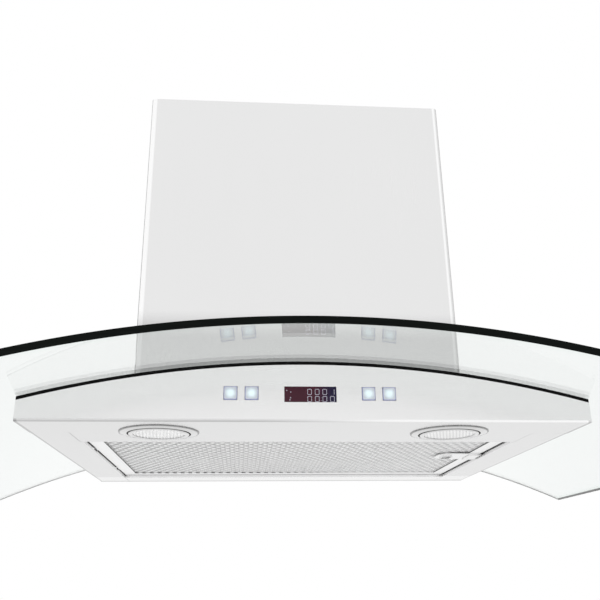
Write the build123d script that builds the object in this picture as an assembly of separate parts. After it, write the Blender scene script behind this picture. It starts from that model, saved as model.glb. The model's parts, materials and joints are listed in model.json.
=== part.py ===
from build123d import *
import math
import os

# A wall mounted range hood: an arched glass canopy on a flat steel body, with a two-part duct cover.
# Lengths are in millimetres. X runs to the right, Y runs into the wall and Z runs up.
# The pieces are drawn with the wall at Y = 0 and the underside of the body at Z = 0.
# They are saved with the origin at the centre of the wall screw pattern.

# Glass canopy: an arched pane that runs straight from the wall to its front edge
glass_width = 750.0
glass_depth = 500.0
glass_thickness = 6.0
glass_radius = 935.0
glass_crown = 52.0
glass_corner_radius = 12.0

# Steel body under the glass
hood_width = 482.0
hood_depth = 400.0
skin = 1.2
bend_radius = 2.0
seam_gap = 0.3
deck_sheet = 1.0
gasket_thickness = 3.0
gasket_width = 9.0

# Underside: the opening for the grease filter and the strip that carries the lamps
side_strip = 37.0
rear_strip = 43.0
lamp_strip = 50.0
tongue_margin = 3.0
flange_height = 16.0

# Screws that hold the glass, square to the arch
glass_screw_inset = 60.0
glass_screw_setback = 70.0
glass_hole_radius = 4.0
bush_clearance = 0.2
bush_rim_radius = 7.0
bush_rim = 1.0
glass_screw_radius = 2.0
screw_clearance = 0.1
glass_screw_head_radius = 6.0
glass_screw_head = 2.4
glass_screw_round = 1.4
glass_nut_radius = 4.0
glass_nut_height = 2.6
glass_screw_tail = 0.8

# Wall plate and its four screw holes, and the two lower holes in the back panel
plate_side = 10.0
plate_sheet = 2.0
plate_lift = 2.0
plate_edge = 27.0
wall_hole_margin = 10.0
wall_hole_rise = 180.0
wall_hole_low = 85.0
wall_hole_radius = 4.0
lower_hole_spread = 360.0
lower_hole_height = 20.0
lower_hole_radius = 3.0

# Blower box, hung on the wall plate and standing on the deck
box_sheet = 1.2
box_front_gap = 53.8
box_flange = 12.0
box_return = 10.0
notch_margin = 3.0
deck_hole_edge = 8.0
box_screw_inset = 62.5
box_screw_radius = 2.0
box_screw_head_radius = 3.6
box_screw_head = 2.0
box_screw_tail = 4.0

# Double inlet fan in its scroll; the scroll is three quarter arcs that grow towards the outlet
scroll_lift = 10.0
scroll_rear_gap = 6.0
scroll_gap = 8.0
scroll_side_gap = 8.0
scroll_sheet = 1.0
scroll_growth_low = 10.0
scroll_growth_front = 12.0
tongue_angle = 65.0
neck_rise = 110.8
inlet_radius = 56.0
inlet_lip = 4.0
wheel_radius = 70.0
wheel_width = 100.0
wheel_disc = 2.0
wheel_ring = 3.0
wheel_ring_width = 9.0
blade_count = 32
blade_chord = 12.0
blade_thickness = 0.9
blade_tilt = 30.0
hub_radius = 12.0
hub_length = 20.0

# Motor in the left inlet
motor_radius = 40.0
motor_wheel_gap = 9.0
motor_wall = 2.0
shaft_radius = 4.0
running_clearance = 0.05
bearing_radius = 9.0
bearing_width = 6.0
bearing_clearance = 0.02
rotor_radius = 20.0
air_gap = 0.5
stator_end_gap = 4.0
bracket_sheet = 2.5
bracket_hub_radius = 36.0
bracket_arm_width = 14.0
bracket_arm_overlap = 12.0
bracket_arms = 3
bracket_lip_clearance = 1.0

# Outlet collar with two damper flaps on one pin
collar_radius = 75.0
collar_wall = 1.0
collar_height = 55.0
collar_flange = 14.0
flap_height = 14.0
flap_sheet = 0.8
flap_clearance = 0.8
flap_pin_radius = 1.5
knuckle_wall = 1.2
knuckle_length = 20.0
knuckle_gap = 0.4
flap_stop = 5.0

# Duct covers: the outer one stands on the glass, the inner one slides up out of it
cover_width = 330.0
cover_front_gap = 23.4
cover_top = 393.0
cover_sheet = 1.0
cover_bend_radius = 4.0
cover_return = 18.0
cover_lift = 0.4
slide_clearance = 0.6
upper_cover_lift = 8.0
upper_cover_drop = 2.0
vent_count = 6
vent_length = 80.0
vent_height = 5.0
vent_pitch = 11.0
vent_top_margin = 30.0
bracket_height = 16.0
bracket_leg = 25.0
bracket_wall = 1.5
bracket_hole_spread = 200.0
bracket_hole_radius = 3.0
cover_screw_radius = 2.0
cover_screw_head_radius = 3.4
cover_screw_head = 0.4
cover_screw_tail = 4.0

# Power box on the right wall of the blower box
power_depth = 110.0
power_height = 110.0
power_wall = 2.0
power_lid = 2.0
power_cover_gap = 9.9
power_setback = 95.0
power_base_height = 95.0
terminal_width = 60.0
terminal_height = 22.0
terminal_depth = 16.0
terminal_round = 1.6
terminal_lift = 18.0
capacitor_radius = 14.0
capacitor_length = 60.0
capacitor_gap = 0.3
capacitor_lid_gap = 3.7
capacitor_round = 1.7
grommet_hole_radius = 8.0
grommet_bore_radius = 4.5
grommet_rim = 2.5
grommet_clearance = 0.1
lid_screw_radius = 1.5
lid_screw_inset = 6.0
lid_screw_length = 8.0
lid_screw_head_radius = 3.0
lid_screw_head = 1.5
lid_post_radius = 4.6

# Controls behind the front panel
display_width = 44.0
display_height = 13.3
display_offset = 0.64
window_clearance = 0.15
window_flange = 2.0
window_flange_thickness = 1.0
button_size = 11.0
button_clearance = 0.25
button_inner = 49.4
button_pitch = 17.6
button_offset = 1.34
button_proud = 1.0
button_flange = 1.2
button_flange_thickness = 1.0
button_rest_gap = 0.3
button_travel = 1.0
button_corner = 1.2
stem_radius = 2.5
pocket_clearance = 0.4
carrier_side = 18.0
carrier_gap = 7.0
carrier_depth = 8.0
board_thickness = 1.6
switch_size = 6.0
switch_height = 3.2
module_margin = 1.0
board_screw_radius = 1.4
board_screw_head_radius = 2.8
board_screw_head = 1.6
board_screw_inset = 5.0
board_screw_length = 6.0

# Lamps in the front strip
lamp_spread = 259.0
lamp_setback = 48.0
lamp_margin = 14.0
lamp_clearance = 0.4
bezel_overlap = 6.0
bezel_face = 5.0
bezel_drop = 2.4
bezel_edge = 0.8
lens_radius = 22.5
lens_thickness = 3.0
lens_recess = 0.6
lens_ledge = 1.5
lens_clearance = 0.15
lens_round = 0.7
lamp_neck_wall = 4.45
lamp_neck_height = 8.0
lamp_deck_gap = 6.5
lamp_can_wall = 1.5
lamp_board_thickness = 1.6
lamp_chip_count = 6
lamp_chip_size = 4.0
lamp_chip_height = 2.0
lamp_chip_circle = 13.0
clip_width = 10.0
clip_sheet = 0.6
clip_reach = 6.0
clip_rise = 14.0
clip_rest_gap = 0.1

# Grease filter, hung on two tabs at the left and held by a pull latch at the right
filter_gap = 2.2
filter_recess = 3.0
filter_height = 9.0
filter_lip = 1.2
filter_web = 1.4
rail_width = 13.0
mesh_sheet = 1.2
mesh_edge_gap = 0.3
mesh_columns = 14
mesh_rows = 21
mesh_strand = 2.4
backing_columns = 8
backing_rows = 11
backing_strand = 3.0
tab_spread = 140.0
tab_width = 14.0
tab_sheet = 1.2
tab_reach = 4.0
tab_clearance = 0.3
filter_swing = 50.0

# Pull latch under the right rail
latch_offset = 27.0
latch_sheet = 1.1
latch_gap = 0.1
latch_neck_width = 24.0
latch_tip_gap = 0.3
latch_travel = 5.0
handle_length = 33.0
handle_width = 36.0
finger_width = 20.0
finger_length = 9.0
finger_inset = 7.0
finger_lip = 1.2
finger_lip_drop = 1.4
guide_sheet = 1.0
guide_leg = 2.5
guide_clearance = 0.3
spring_window_width = 16.0
spring_shut_length = 2.2
spring_post = 1.5
spring_sheet = 0.5
spring_seat_gap = 0.1
spring_height = 0.9

# Places worked out from the sizes above
arch_centre = glass_crown - glass_radius
seat_radius = glass_radius - gasket_thickness
deck_radius = seat_radius - deck_sheet
glass_top_radius = glass_radius + glass_thickness
sides = {"left": -1, "right": 1}

lens_seat_radius = lens_radius + lens_ledge
lamp_bore_radius = lens_seat_radius + lens_clearance
lamp_neck_radius = lamp_bore_radius + lamp_neck_wall
lamp_hole_radius = lamp_neck_radius + lamp_clearance
bezel_base_radius = lamp_hole_radius + bezel_overlap
bezel_rim_radius = lens_radius + bezel_face
lens_base = -bezel_drop + lens_recess

hood_half = hood_width / 2
front_face = -hood_depth
front_inner = front_face + skin
rear_inner = -skin
lamp_y = front_face + lamp_setback
opening_half = hood_half - side_strip
opening_front = lamp_y + bezel_base_radius + lamp_margin
opening_rear = -rear_strip
strip_rear = front_face + lamp_strip
tongue_half = opening_half + tongue_margin

scroll_start_radius = wheel_radius + scroll_gap
scroll_low_radius = scroll_start_radius + scroll_growth_low
scroll_front_radius = scroll_low_radius + scroll_growth_front
scroll_half = wheel_width / 2 + scroll_side_gap
plate_front = -plate_sheet
fan_y = plate_front - scroll_start_radius - scroll_rear_gap
fan_height = glass_crown + scroll_lift + scroll_low_radius
tongue_reach = scroll_start_radius * math.cos(math.radians(tongue_angle))
tongue_height = scroll_start_radius * math.sin(math.radians(tongue_angle))
neck_reach = scroll_growth_low + scroll_front_radius
neck_front = fan_y - neck_reach
neck_rear = fan_y - tongue_reach
bracket_face = -scroll_half - scroll_sheet
bracket_arm_reach = inlet_radius + bracket_arm_overlap
motor_end = -wheel_disc / 2 - motor_wheel_gap
lip_inside = inlet_radius - bracket_lip_clearance
lip_outside = inlet_radius + scroll_sheet + bracket_lip_clearance
rotor_span = (bracket_face + motor_wall + bearing_width + stator_end_gap,
              motor_end - motor_wall - bearing_width - stator_end_gap)

upper_inset = cover_sheet + slide_clearance
upper_width = cover_width - 2 * upper_inset
upper_inner_half = upper_width / 2 - cover_sheet
power_width = power_wall + capacitor_gap + 2 * capacitor_radius + capacitor_lid_gap
box_half = upper_inner_half - power_cover_gap - lid_screw_head - power_lid - power_width
box_front = neck_front - scroll_sheet - box_front_gap - box_sheet
box_ceiling = fan_height + neck_rise
box_top = box_ceiling + box_sheet
cover_depth = -box_front + box_flange + cover_front_gap + upper_inset + cover_sheet
upper_depth = cover_depth - 2 * upper_inset
upper_bottom = glass_crown + glass_thickness + upper_cover_lift
upper_top = cover_top - upper_cover_drop
bracket_rear = -upper_inset - cover_sheet
bracket_mid = upper_top - bracket_height / 2
# The glass screws stand a third of the way from the duct cover to the side of the body
glass_screw_x = cover_width / 2 + (hood_half - cover_width / 2) / 3

wall_hole_x = box_half + wall_hole_margin
plate_half = wall_hole_x + wall_hole_radius + plate_side
plate_low = glass_crown + plate_lift
plate_top = wall_hole_low + wall_hole_rise + plate_edge
notch_half = plate_half + notch_margin
notch_front = box_front - box_flange - notch_margin
origin_height = wall_hole_low + wall_hole_rise / 2

collar_y = (neck_front + neck_rear) / 2
collar_bore = collar_radius - collar_wall
collar_top = box_top + collar_height
flap_z = box_top + flap_height
knuckle_bore = flap_pin_radius + running_clearance
knuckle_radius = knuckle_bore + knuckle_wall

power_span = (box_half, box_half + power_width)
power_y = (plate_front - power_setback - power_depth, plate_front - power_setback)
power_z = (power_base_height, power_base_height + power_height)

button_outer = button_inner + button_pitch
button_places = {
    "left_outer_button": -button_outer,
    "left_inner_button": -button_inner,
    "right_inner_button": button_inner,
    "right_outer_button": button_outer,
}
carrier_half = button_outer + carrier_side
carrier_rear = front_inner + carrier_depth
carrier_ceiling = arch_centre + math.sqrt(deck_radius ** 2 - carrier_half ** 2)
carrier_z = (skin + carrier_gap, carrier_ceiling - carrier_gap)
board_rear = carrier_rear + board_thickness
display_centre = sum(carrier_z) / 2 + display_offset
button_centre = sum(carrier_z) / 2 + button_offset

lamp_reach = lamp_spread / 2 + lamp_neck_radius
lamp_can_top = arch_centre + math.sqrt(deck_radius ** 2 - lamp_reach ** 2) - lamp_deck_gap

filter_half = opening_half - filter_gap
filter_front = opening_front + filter_gap
filter_rear = opening_rear - filter_gap
filter_mid = (filter_front + filter_rear) / 2
filter_base = filter_recess
filter_top = filter_base + filter_height
mesh_x = filter_half - rail_width
mesh_front = filter_front + rail_width
mesh_rear = filter_rear - rail_width
groove_depth = rail_width - filter_web
groove_span = (filter_base + filter_lip, filter_top - filter_lip)
hinge_x = -opening_half - skin / 2
hinge_z = filter_base + tab_sheet / 2
swing = math.radians(filter_swing)
tab_slot = tab_sheet / 2 / math.cos(swing) + skin / 2 * math.tan(swing) + tab_clearance
tab_places = [filter_mid - tab_spread / 2, filter_mid + tab_spread / 2]

latch_y = filter_mid - latch_offset
latch_top = filter_base - latch_gap
latch_base = latch_top - latch_sheet
latch_tip = opening_half - latch_tip_gap
neck_half = latch_neck_width / 2
spring_window_length = guide_clearance + spring_post + latch_travel + spring_shut_length
spring_window = (filter_half - rail_width / 2 - spring_window_length / 2,
                 filter_half - rail_width / 2 + spring_window_length / 2)
spring_span = (spring_window[0] + guide_clearance + spring_post + spring_seat_gap,
               spring_window[1] - spring_seat_gap)


def block(x_span, y_span, z_span):
    spans = (x_span, y_span, z_span)
    centre = [(low + high) / 2 for low, high in spans]
    size = [high - low for low, high in spans]
    return Pos(*centre) * Box(*size)


def both_sides(half, y_span, z_span):
    return block((-half, half), y_span, z_span)


def across(side, low, high):
    return (low, high) if side > 0 else (-high, -low)


def rod_x(radius, x_span, y, z):
    low, high = x_span
    return Pos((low + high) / 2, y, z) * Rot(0, 90, 0) * Cylinder(radius, high - low)


def rod_y(radius, y_span, x, z):
    low, high = y_span
    return Pos(x, (low + high) / 2, z) * Rot(90, 0, 0) * Cylinder(radius, high - low)


def rod_z(radius, z_span, x, y):
    low, high = z_span
    return Pos(x, y, (low + high) / 2) * Cylinder(radius, high - low)


def barrel(radius, y_span):
    return rod_y(radius, y_span, 0, arch_centre)


def arched_sheet(inner_radius, outer_radius, half, y_span):
    ring = barrel(outer_radius, y_span) - barrel(inner_radius, y_span)
    return ring & both_sides(half, y_span, (arch_centre, arch_centre + outer_radius))


def under_arch(shape):
    return shape & barrel(seat_radius, (-glass_depth, 0))


def square_to_arch(radius, x, y):
    lean = math.degrees(math.asin(x / glass_radius))
    return Pos(0, y, arch_centre) * Rot(0, lean, 0) * Pos(0, 0, radius)


def group(solids):
    return Compound(children=list(solids))


# Glass canopy and what seats it

def glass_screw_places(radius):
    for side in sides.values():
        for y in (front_face + glass_screw_inset, -glass_screw_setback):
            yield square_to_arch(radius, side * glass_screw_x, y)


def glass_canopy():
    pane = arched_sheet(glass_radius, glass_top_radius, glass_width / 2, (-glass_depth, 0))
    corners = pane.edges().filter_by(Axis.Z).group_by(Axis.Y)[0]
    pane = fillet(corners, glass_corner_radius)
    pane -= both_sides(notch_half, (notch_front, 0), (0, glass_crown + 2 * glass_thickness))
    for place in glass_screw_places(glass_radius):
        pane -= place * Cylinder(glass_hole_radius, 4 * glass_thickness)
    return pane


def glass_gasket():
    z_span = (0, glass_crown)
    ring = arched_sheet(seat_radius, glass_radius, hood_half, (front_face, 0))
    ring -= both_sides(hood_half - gasket_width, (front_face + gasket_width, -gasket_width), z_span)
    return ring - both_sides(notch_half, (notch_front, 0), z_span)


def glass_bushes():
    length = gasket_thickness + glass_thickness
    body = Pos(0, 0, length / 2) * Cylinder(glass_hole_radius - bush_clearance, length)
    body += Pos(0, 0, length + bush_rim / 2) * Cylinder(bush_rim_radius, bush_rim)
    body -= Pos(0, 0, length / 2) * Cylinder(glass_screw_radius + screw_clearance, 2 * length)
    return group(place * body for place in glass_screw_places(seat_radius))


def glass_screws():
    head_base = gasket_thickness + glass_thickness + bush_rim
    tail = deck_sheet + glass_nut_height + glass_screw_tail
    head = Pos(0, 0, head_base + glass_screw_head / 2)
    head = head * Cylinder(glass_screw_head_radius, glass_screw_head)
    head = fillet(head.edges().group_by(Axis.Z)[-1], glass_screw_round)
    shank = Pos(0, 0, (head_base - tail) / 2) * Cylinder(glass_screw_radius, head_base + tail)
    return group(place * (head + shank) for place in glass_screw_places(seat_radius))


def glass_nuts():
    nut = extrude(RegularPolygon(glass_nut_radius, 6), glass_nut_height)
    nut -= Cylinder(glass_screw_radius + running_clearance, 4 * glass_nut_height)
    return group(place * Pos(0, 0, -deck_sheet - glass_nut_height) * nut
                 for place in glass_screw_places(seat_radius))


# Steel body

def front_panel():
    wall = both_sides(hood_half, (front_face, front_inner), (0, glass_crown))
    strip = both_sides(hood_half, (front_face, strip_rear), (0, skin))
    tongue = both_sides(tongue_half, (front_face, opening_front), (0, skin))
    panel = wall + strip + tongue
    fold = panel.edges().filter_by(Axis.X).group_by(Axis.Z)[0].sort_by(Axis.Y)[0]
    panel = fillet(fold, bend_radius)
    panel += both_sides(tongue_half, (opening_front - skin, opening_front), (0, flange_height))
    lip = panel.edges().filter_by(Axis.X).group_by(Axis.Z)[0].sort_by(Axis.Y)[-1]
    panel = fillet(lip, skin)
    for side in sides.values():
        panel -= rod_z(lamp_hole_radius, (-skin, 2 * skin), side * lamp_spread / 2, lamp_y)
    panel -= both_sides(display_width / 2, (front_face - skin, front_inner + skin),
                        (display_centre - display_height / 2, display_centre + display_height / 2))
    hole = button_size / 2 + button_clearance
    for x in button_places.values():
        panel -= block((x - hole, x + hole), (front_face - skin, front_inner + skin),
                       (button_centre - hole, button_centre + hole))
    return under_arch(panel)


def side_panel(side):
    strip = block(across(side, opening_half, hood_half), (strip_rear + seam_gap, rear_inner), (0, skin))
    strip -= block(across(side, 0, tongue_half + seam_gap), (strip_rear, opening_front + seam_gap),
                   (-skin, 2 * skin))
    wall = block(across(side, hood_half - skin, hood_half), (front_inner, rear_inner), (skin, glass_crown))
    flange = block(across(side, opening_half, opening_half + skin),
                   (opening_front + seam_gap, opening_rear), (0, flange_height))
    panel = strip + wall + flange
    edges = panel.edges().filter_by(Axis.Y).group_by(Axis.Z)[0]
    outer = edges.sort_by(Axis.X)[-1 if side > 0 else 0]
    panel = fillet(outer, skin)
    return under_arch(panel)


def left_side_panel():
    panel = side_panel(-1)
    half = tab_width / 2 + tab_clearance
    for y in tab_places:
        panel -= block((-opening_half - 2 * skin, -opening_half + skin), (y - half, y + half),
                       (hinge_z - tab_slot, hinge_z + tab_slot))
    return panel


def right_side_panel():
    half = neck_half + tab_clearance
    keeper = block((opening_half - skin, opening_half + 2 * skin), (latch_y - half, latch_y + half),
                   (latch_base - tab_clearance, latch_top + tab_clearance))
    return side_panel(1) - keeper


def back_panel():
    wall = both_sides(hood_half, (rear_inner, 0), (0, glass_crown))
    strip = both_sides(opening_half - seam_gap, (opening_rear, 0), (0, skin))
    flange = both_sides(opening_half - seam_gap, (opening_rear, opening_rear + skin), (0, flange_height))
    panel = under_arch(wall + strip + flange)
    for side in sides.values():
        panel -= rod_y(lower_hole_radius, (-2 * skin, skin), side * lower_hole_spread / 2, lower_hole_height)
    return panel


def top_deck():
    deck = arched_sheet(deck_radius, seat_radius, hood_half - skin, (front_inner, rear_inner))
    deck -= both_sides(box_half - deck_hole_edge, (box_front + deck_hole_edge, plate_front - deck_hole_edge),
                       (0, glass_crown))
    for place in glass_screw_places(seat_radius):
        deck -= place * Cylinder(glass_screw_radius + screw_clearance, 4 * deck_sheet)
    for place in box_screw_places():
        deck -= place * Cylinder(box_screw_radius + screw_clearance, 4 * (deck_sheet + box_sheet))
    return deck


# Wall plate and blower box

def wall_plate():
    plate = both_sides(plate_half, (plate_front, 0), (plate_low, plate_top))
    for side in sides.values():
        for z in (wall_hole_low, wall_hole_low + wall_hole_rise):
            plate -= rod_y(wall_hole_radius, (2 * plate_front, -plate_front), side * wall_hole_x, z)
    return plate


def box_screw_places():
    x = box_half + box_flange / 2
    for side in sides.values():
        for y in (box_front + box_screw_inset, plate_front - box_screw_inset):
            yield square_to_arch(seat_radius, side * x, y)
        yield square_to_arch(seat_radius, side * box_half / 2, box_front - box_flange / 2)


def blower_box():
    y_span = (box_front, plate_front)
    hollow = both_sides(box_half - box_sheet, (box_front + box_sheet, 0), (0, box_ceiling))
    box = both_sides(box_half, y_span, (0, box_top)) - hollow
    for side in sides.values():
        box += block(across(side, box_half - box_return, box_half), (plate_front - box_sheet, plate_front),
                     (0, box_top))
    box -= barrel(seat_radius, (box_front - box_flange, 0))
    flange = arched_sheet(seat_radius, seat_radius + box_sheet, box_half + box_flange,
                          (box_front - box_flange, plate_front))
    box += flange - hollow
    box -= both_sides(scroll_half, (neck_front, neck_rear), (box_ceiling - box_sheet, box_top + box_sheet))
    for place in box_screw_places():
        box -= place * Cylinder(box_screw_radius + screw_clearance, 4 * box_sheet)
    return box


def box_screws():
    head = Pos(0, 0, box_sheet + box_screw_head / 2) * Cylinder(box_screw_head_radius, box_screw_head)
    shank = Pos(0, 0, (box_sheet - deck_sheet - box_screw_tail) / 2)
    shank = shank * Cylinder(box_screw_radius, box_sheet + deck_sheet + box_screw_tail)
    return group(place * (head + shank) for place in box_screw_places())


# Fan and scroll, drawn in the plane across the fan axis with the first axis towards the front

def scroll_plane(x):
    return Plane(origin=(x, fan_y, fan_height), x_dir=(0, -1, 0), z_dir=(-1, 0, 0))


def scroll_outline():
    low_centre = (scroll_growth_low, 0)
    front_centre = (scroll_growth_low, scroll_growth_front)
    lines = [
        CenterArc((0, 0), scroll_start_radius, tongue_angle, 180 - tongue_angle),
        CenterArc(low_centre, scroll_low_radius, 180, 90),
        CenterArc(front_centre, scroll_front_radius, 270, 90),
        Line((neck_reach, scroll_growth_front), (neck_reach, neck_rise)),
        Line((neck_reach, neck_rise), (tongue_reach, neck_rise)),
        Line((tongue_reach, neck_rise), (tongue_reach, tongue_height)),
    ]
    return make_face(lines)


def scroll_outside():
    outside = offset(scroll_outline(), amount=scroll_sheet)
    mouth = Pos((neck_reach + tongue_reach) / 2, neck_rise + scroll_sheet)
    return outside - mouth * Rectangle(2 * neck_reach, 2 * scroll_sheet)


def scroll_band():
    return scroll_plane(scroll_half) * extrude(scroll_outside() - scroll_outline(), 2 * scroll_half)


def scroll_plate(side):
    inner, outer = scroll_half, scroll_half + scroll_sheet
    start = outer if side > 0 else -inner
    plate = scroll_plane(start) * extrude(scroll_outside(), scroll_sheet)
    lip = rod_x(inlet_radius + scroll_sheet, across(side, inner, outer + inlet_lip), fan_y, fan_height)
    return plate + lip - rod_x(inlet_radius, across(side, 0, 2 * scroll_half), fan_y, fan_height)


def fan_wheel():
    half = wheel_width / 2
    blade_circle = wheel_radius - blade_chord / 2
    wheel = rod_x(blade_circle, (-wheel_disc / 2, wheel_disc / 2), fan_y, fan_height)
    wheel += rod_x(hub_radius, (0, hub_length), fan_y, fan_height)
    ring_inner = wheel_radius - wheel_ring_width
    for side in sides.values():
        span = across(side, half - wheel_ring, half)
        wheel += rod_x(wheel_radius, span, fan_y, fan_height) - rod_x(ring_inner, span, fan_y, fan_height)
    blade = Rot(0, 0, blade_tilt) * Box(blade_chord, blade_thickness, wheel_width)
    turn = 360 / blade_count
    blades = [scroll_plane(0) * Rot(0, 0, turn * index) * Pos(blade_circle, 0, 0) * blade
              for index in range(blade_count)]
    wheel += blades
    return wheel - rod_x(shaft_radius, (-half, half), fan_y, fan_height)


def motor_shaft():
    return rod_x(shaft_radius, (bracket_face + motor_wall + air_gap, hub_length), fan_y, fan_height)


def motor_rotor():
    rotor = rod_x(rotor_radius, rotor_span, fan_y, fan_height)
    return rotor - rod_x(shaft_radius, (bracket_face, motor_end), fan_y, fan_height)


def motor_can():
    hollow = (bracket_face + motor_wall, motor_end - motor_wall)
    can = rod_x(motor_radius, (bracket_face, motor_end), fan_y, fan_height)
    can -= rod_x(motor_radius - motor_wall, hollow, fan_y, fan_height)
    for span in bearing_spans():
        seat = rod_x(bearing_radius + motor_wall, span, fan_y, fan_height)
        can += seat - rod_x(bearing_radius + bearing_clearance, span, fan_y, fan_height)
    return can - rod_x(shaft_radius + 2 * air_gap, (bracket_face + motor_wall, motor_end + motor_wall),
                       fan_y, fan_height)


def bearing_spans():
    rear = bracket_face + motor_wall
    front = motor_end - motor_wall
    return [(rear, rear + bearing_width), (front - bearing_width, front)]


def motor_bearings():
    return group(rod_x(bearing_radius, span, fan_y, fan_height)
                 - rod_x(shaft_radius + running_clearance, span, fan_y, fan_height)
                 for span in bearing_spans())


def motor_stator():
    outer = rod_x(motor_radius - motor_wall, rotor_span, fan_y, fan_height)
    return outer - rod_x(rotor_radius + air_gap, rotor_span, fan_y, fan_height)


def motor_bracket():
    span = (bracket_face - bracket_sheet, bracket_face)
    bracket = rod_x(bracket_hub_radius, span, fan_y, fan_height)
    arm = Pos(bracket_arm_reach / 2, 0, bracket_sheet / 2)
    arm = arm * Box(bracket_arm_reach, bracket_arm_width, bracket_sheet)
    for index in range(bracket_arms):
        bracket += scroll_plane(bracket_face) * Rot(0, 0, 90 + 360 / bracket_arms * index) * arm
    lip = rod_x(lip_outside, span, fan_y, fan_height) - rod_x(lip_inside, span, fan_y, fan_height)
    return bracket - lip + bracket_bridges()


def bracket_bridges():
    room = inlet_lip + bracket_lip_clearance
    height = room + bracket_sheet
    mid = (lip_inside + lip_outside) / 2
    span = lip_outside - lip_inside
    arch = Pos(mid, 0, height / 2) * Box(span + 2 * bracket_sheet, bracket_arm_width, height)
    arch -= Pos(mid, 0, room / 2) * Box(span, bracket_arm_width, room)
    return [scroll_plane(bracket_face) * Rot(0, 0, 90 + 360 / bracket_arms * index) * arch
            for index in range(bracket_arms)]


# Outlet collar and damper flaps

def outlet_collar():
    collar = rod_z(collar_radius + collar_flange, (box_top, box_top + collar_wall), 0, collar_y)
    collar += rod_z(collar_radius, (box_top, collar_top), 0, collar_y)
    collar -= rod_z(collar_bore, (box_top - collar_wall, collar_top + collar_wall), 0, collar_y)
    stop_top = flap_z - flap_sheet / 2 - seam_gap
    for side in sides.values():
        reach = across(side, collar_bore - flap_stop, collar_bore + collar_wall / 2)
        stop = block((-flap_stop, flap_stop), reach, (stop_top - flap_stop, stop_top))
        collar += Pos(0, collar_y, 0) * stop
    return collar - rod_x(flap_pin_radius, (-collar_radius, collar_radius), collar_y, flap_z)


def flap_pin():
    return rod_x(flap_pin_radius, (-collar_radius, collar_radius), collar_y, flap_z)


def flap(side, knuckle_places):
    radius = collar_bore - flap_clearance
    web = knuckle_radius + knuckle_gap
    z_span = (flap_z - flap_sheet / 2, flap_z + flap_sheet / 2)
    leaf = rod_z(radius, z_span, 0, 0) & both_sides(radius, across(side, web, radius), z_span)
    for x in knuckle_places:
        x_span = (x - knuckle_length / 2, x + knuckle_length / 2)
        leaf += block(x_span, across(side, 0, web + knuckle_gap), z_span)
        leaf += rod_x(knuckle_radius, x_span, 0, flap_z)
    leaf -= rod_x(knuckle_bore, (-radius, radius), 0, flap_z)
    return Pos(0, collar_y, 0) * leaf


def front_flap():
    step = knuckle_length + knuckle_gap
    return flap(-1, (-2 * step, step))


def rear_flap():
    step = knuckle_length + knuckle_gap
    return flap(1, (-step, 2 * step))


# Duct covers

def cover_profile(width, depth, rear, radius):
    outline = RectangleRounded(width, depth, radius)
    inside = RectangleRounded(width - 2 * cover_sheet, depth - 2 * cover_sheet, radius - cover_sheet)
    gap = Pos(0, depth / 2) * Rectangle(width - 2 * cover_return, 4 * cover_sheet)
    return Pos(0, rear - depth / 2) * (outline - inside - gap)


def lower_duct_cover():
    profile = cover_profile(cover_width, cover_depth, 0, cover_bend_radius)
    cover = extrude(profile, cover_top)
    return cover - barrel(glass_top_radius + cover_lift, (-glass_depth, glass_depth))


def upper_duct_cover():
    profile = cover_profile(upper_width, upper_depth, -upper_inset, cover_bend_radius - upper_inset)
    cover = Pos(0, 0, upper_bottom) * extrude(profile, upper_top - upper_bottom)
    y_span = (-cover_depth / 2 - vent_length / 2, -cover_depth / 2 + vent_length / 2)
    for index in range(vent_count):
        top = upper_top - vent_top_margin - index * vent_pitch
        cover -= both_sides(cover_width, y_span, (top - vent_height, top))
    return cover - group(cover_screw_holes())


def cover_screw_sites():
    y = bracket_rear - bracket_leg / 2
    return [(side, y) for side in sides.values()]


def cover_screw_holes():
    for side, y in cover_screw_sites():
        span = across(side, upper_inner_half - 2 * bracket_wall, cover_width / 2)
        yield rod_x(cover_screw_radius + screw_clearance, span, y, bracket_mid)


def upper_cover_bracket():
    z_span = (upper_top - bracket_height, upper_top)
    front = bracket_rear - bracket_leg
    bracket = both_sides(upper_inner_half, (front, bracket_rear), z_span)
    bracket -= both_sides(upper_inner_half - bracket_wall, (front, bracket_rear - bracket_wall), z_span)
    corners = bracket.edges().filter_by(Axis.Z).group_by(Axis.Y)[-1]
    bracket = fillet(corners, cover_bend_radius - cover_sheet)
    drill = (bracket_rear - 2 * bracket_wall, 0)
    for side in sides.values():
        bracket -= rod_y(bracket_hole_radius, drill, side * bracket_hole_spread / 2, bracket_mid)
    return bracket - group(cover_screw_holes())


def cover_screws():
    screws = []
    outside = upper_width / 2
    for side, y in cover_screw_sites():
        shank_span = across(side, upper_inner_half - cover_screw_tail, outside)
        head_span = across(side, outside, outside + cover_screw_head)
        screws.append(rod_x(cover_screw_radius, shank_span, y, bracket_mid)
                      + rod_x(cover_screw_head_radius, head_span, y, bracket_mid))
    return group(screws)


# Power box

def lid_screw_places():
    for y in (power_y[0] + lid_screw_inset, power_y[1] - lid_screw_inset):
        for z in (power_z[0] + lid_screw_inset, power_z[1] - lid_screw_inset):
            yield y, z


def power_box():
    box = block(power_span, power_y, power_z)
    hollow_y = (power_y[0] + power_wall, power_y[1] - power_wall)
    hollow_z = (power_z[0] + power_wall, power_z[1] - power_wall)
    box -= block((power_span[0] + power_wall, power_span[1]), hollow_y, hollow_z)
    for y, z in lid_screw_places():
        box += rod_x(lid_post_radius, power_span, y, z)
        box -= rod_x(lid_screw_radius, (power_span[1] - lid_screw_length, power_span[1]), y, z)
    drill = (power_z[1] - 2 * power_wall, power_z[1] + power_wall)
    return box - rod_z(grommet_hole_radius, drill, *grommet_place())


def grommet_place():
    return sum(power_span) / 2, sum(power_y) / 2


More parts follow.
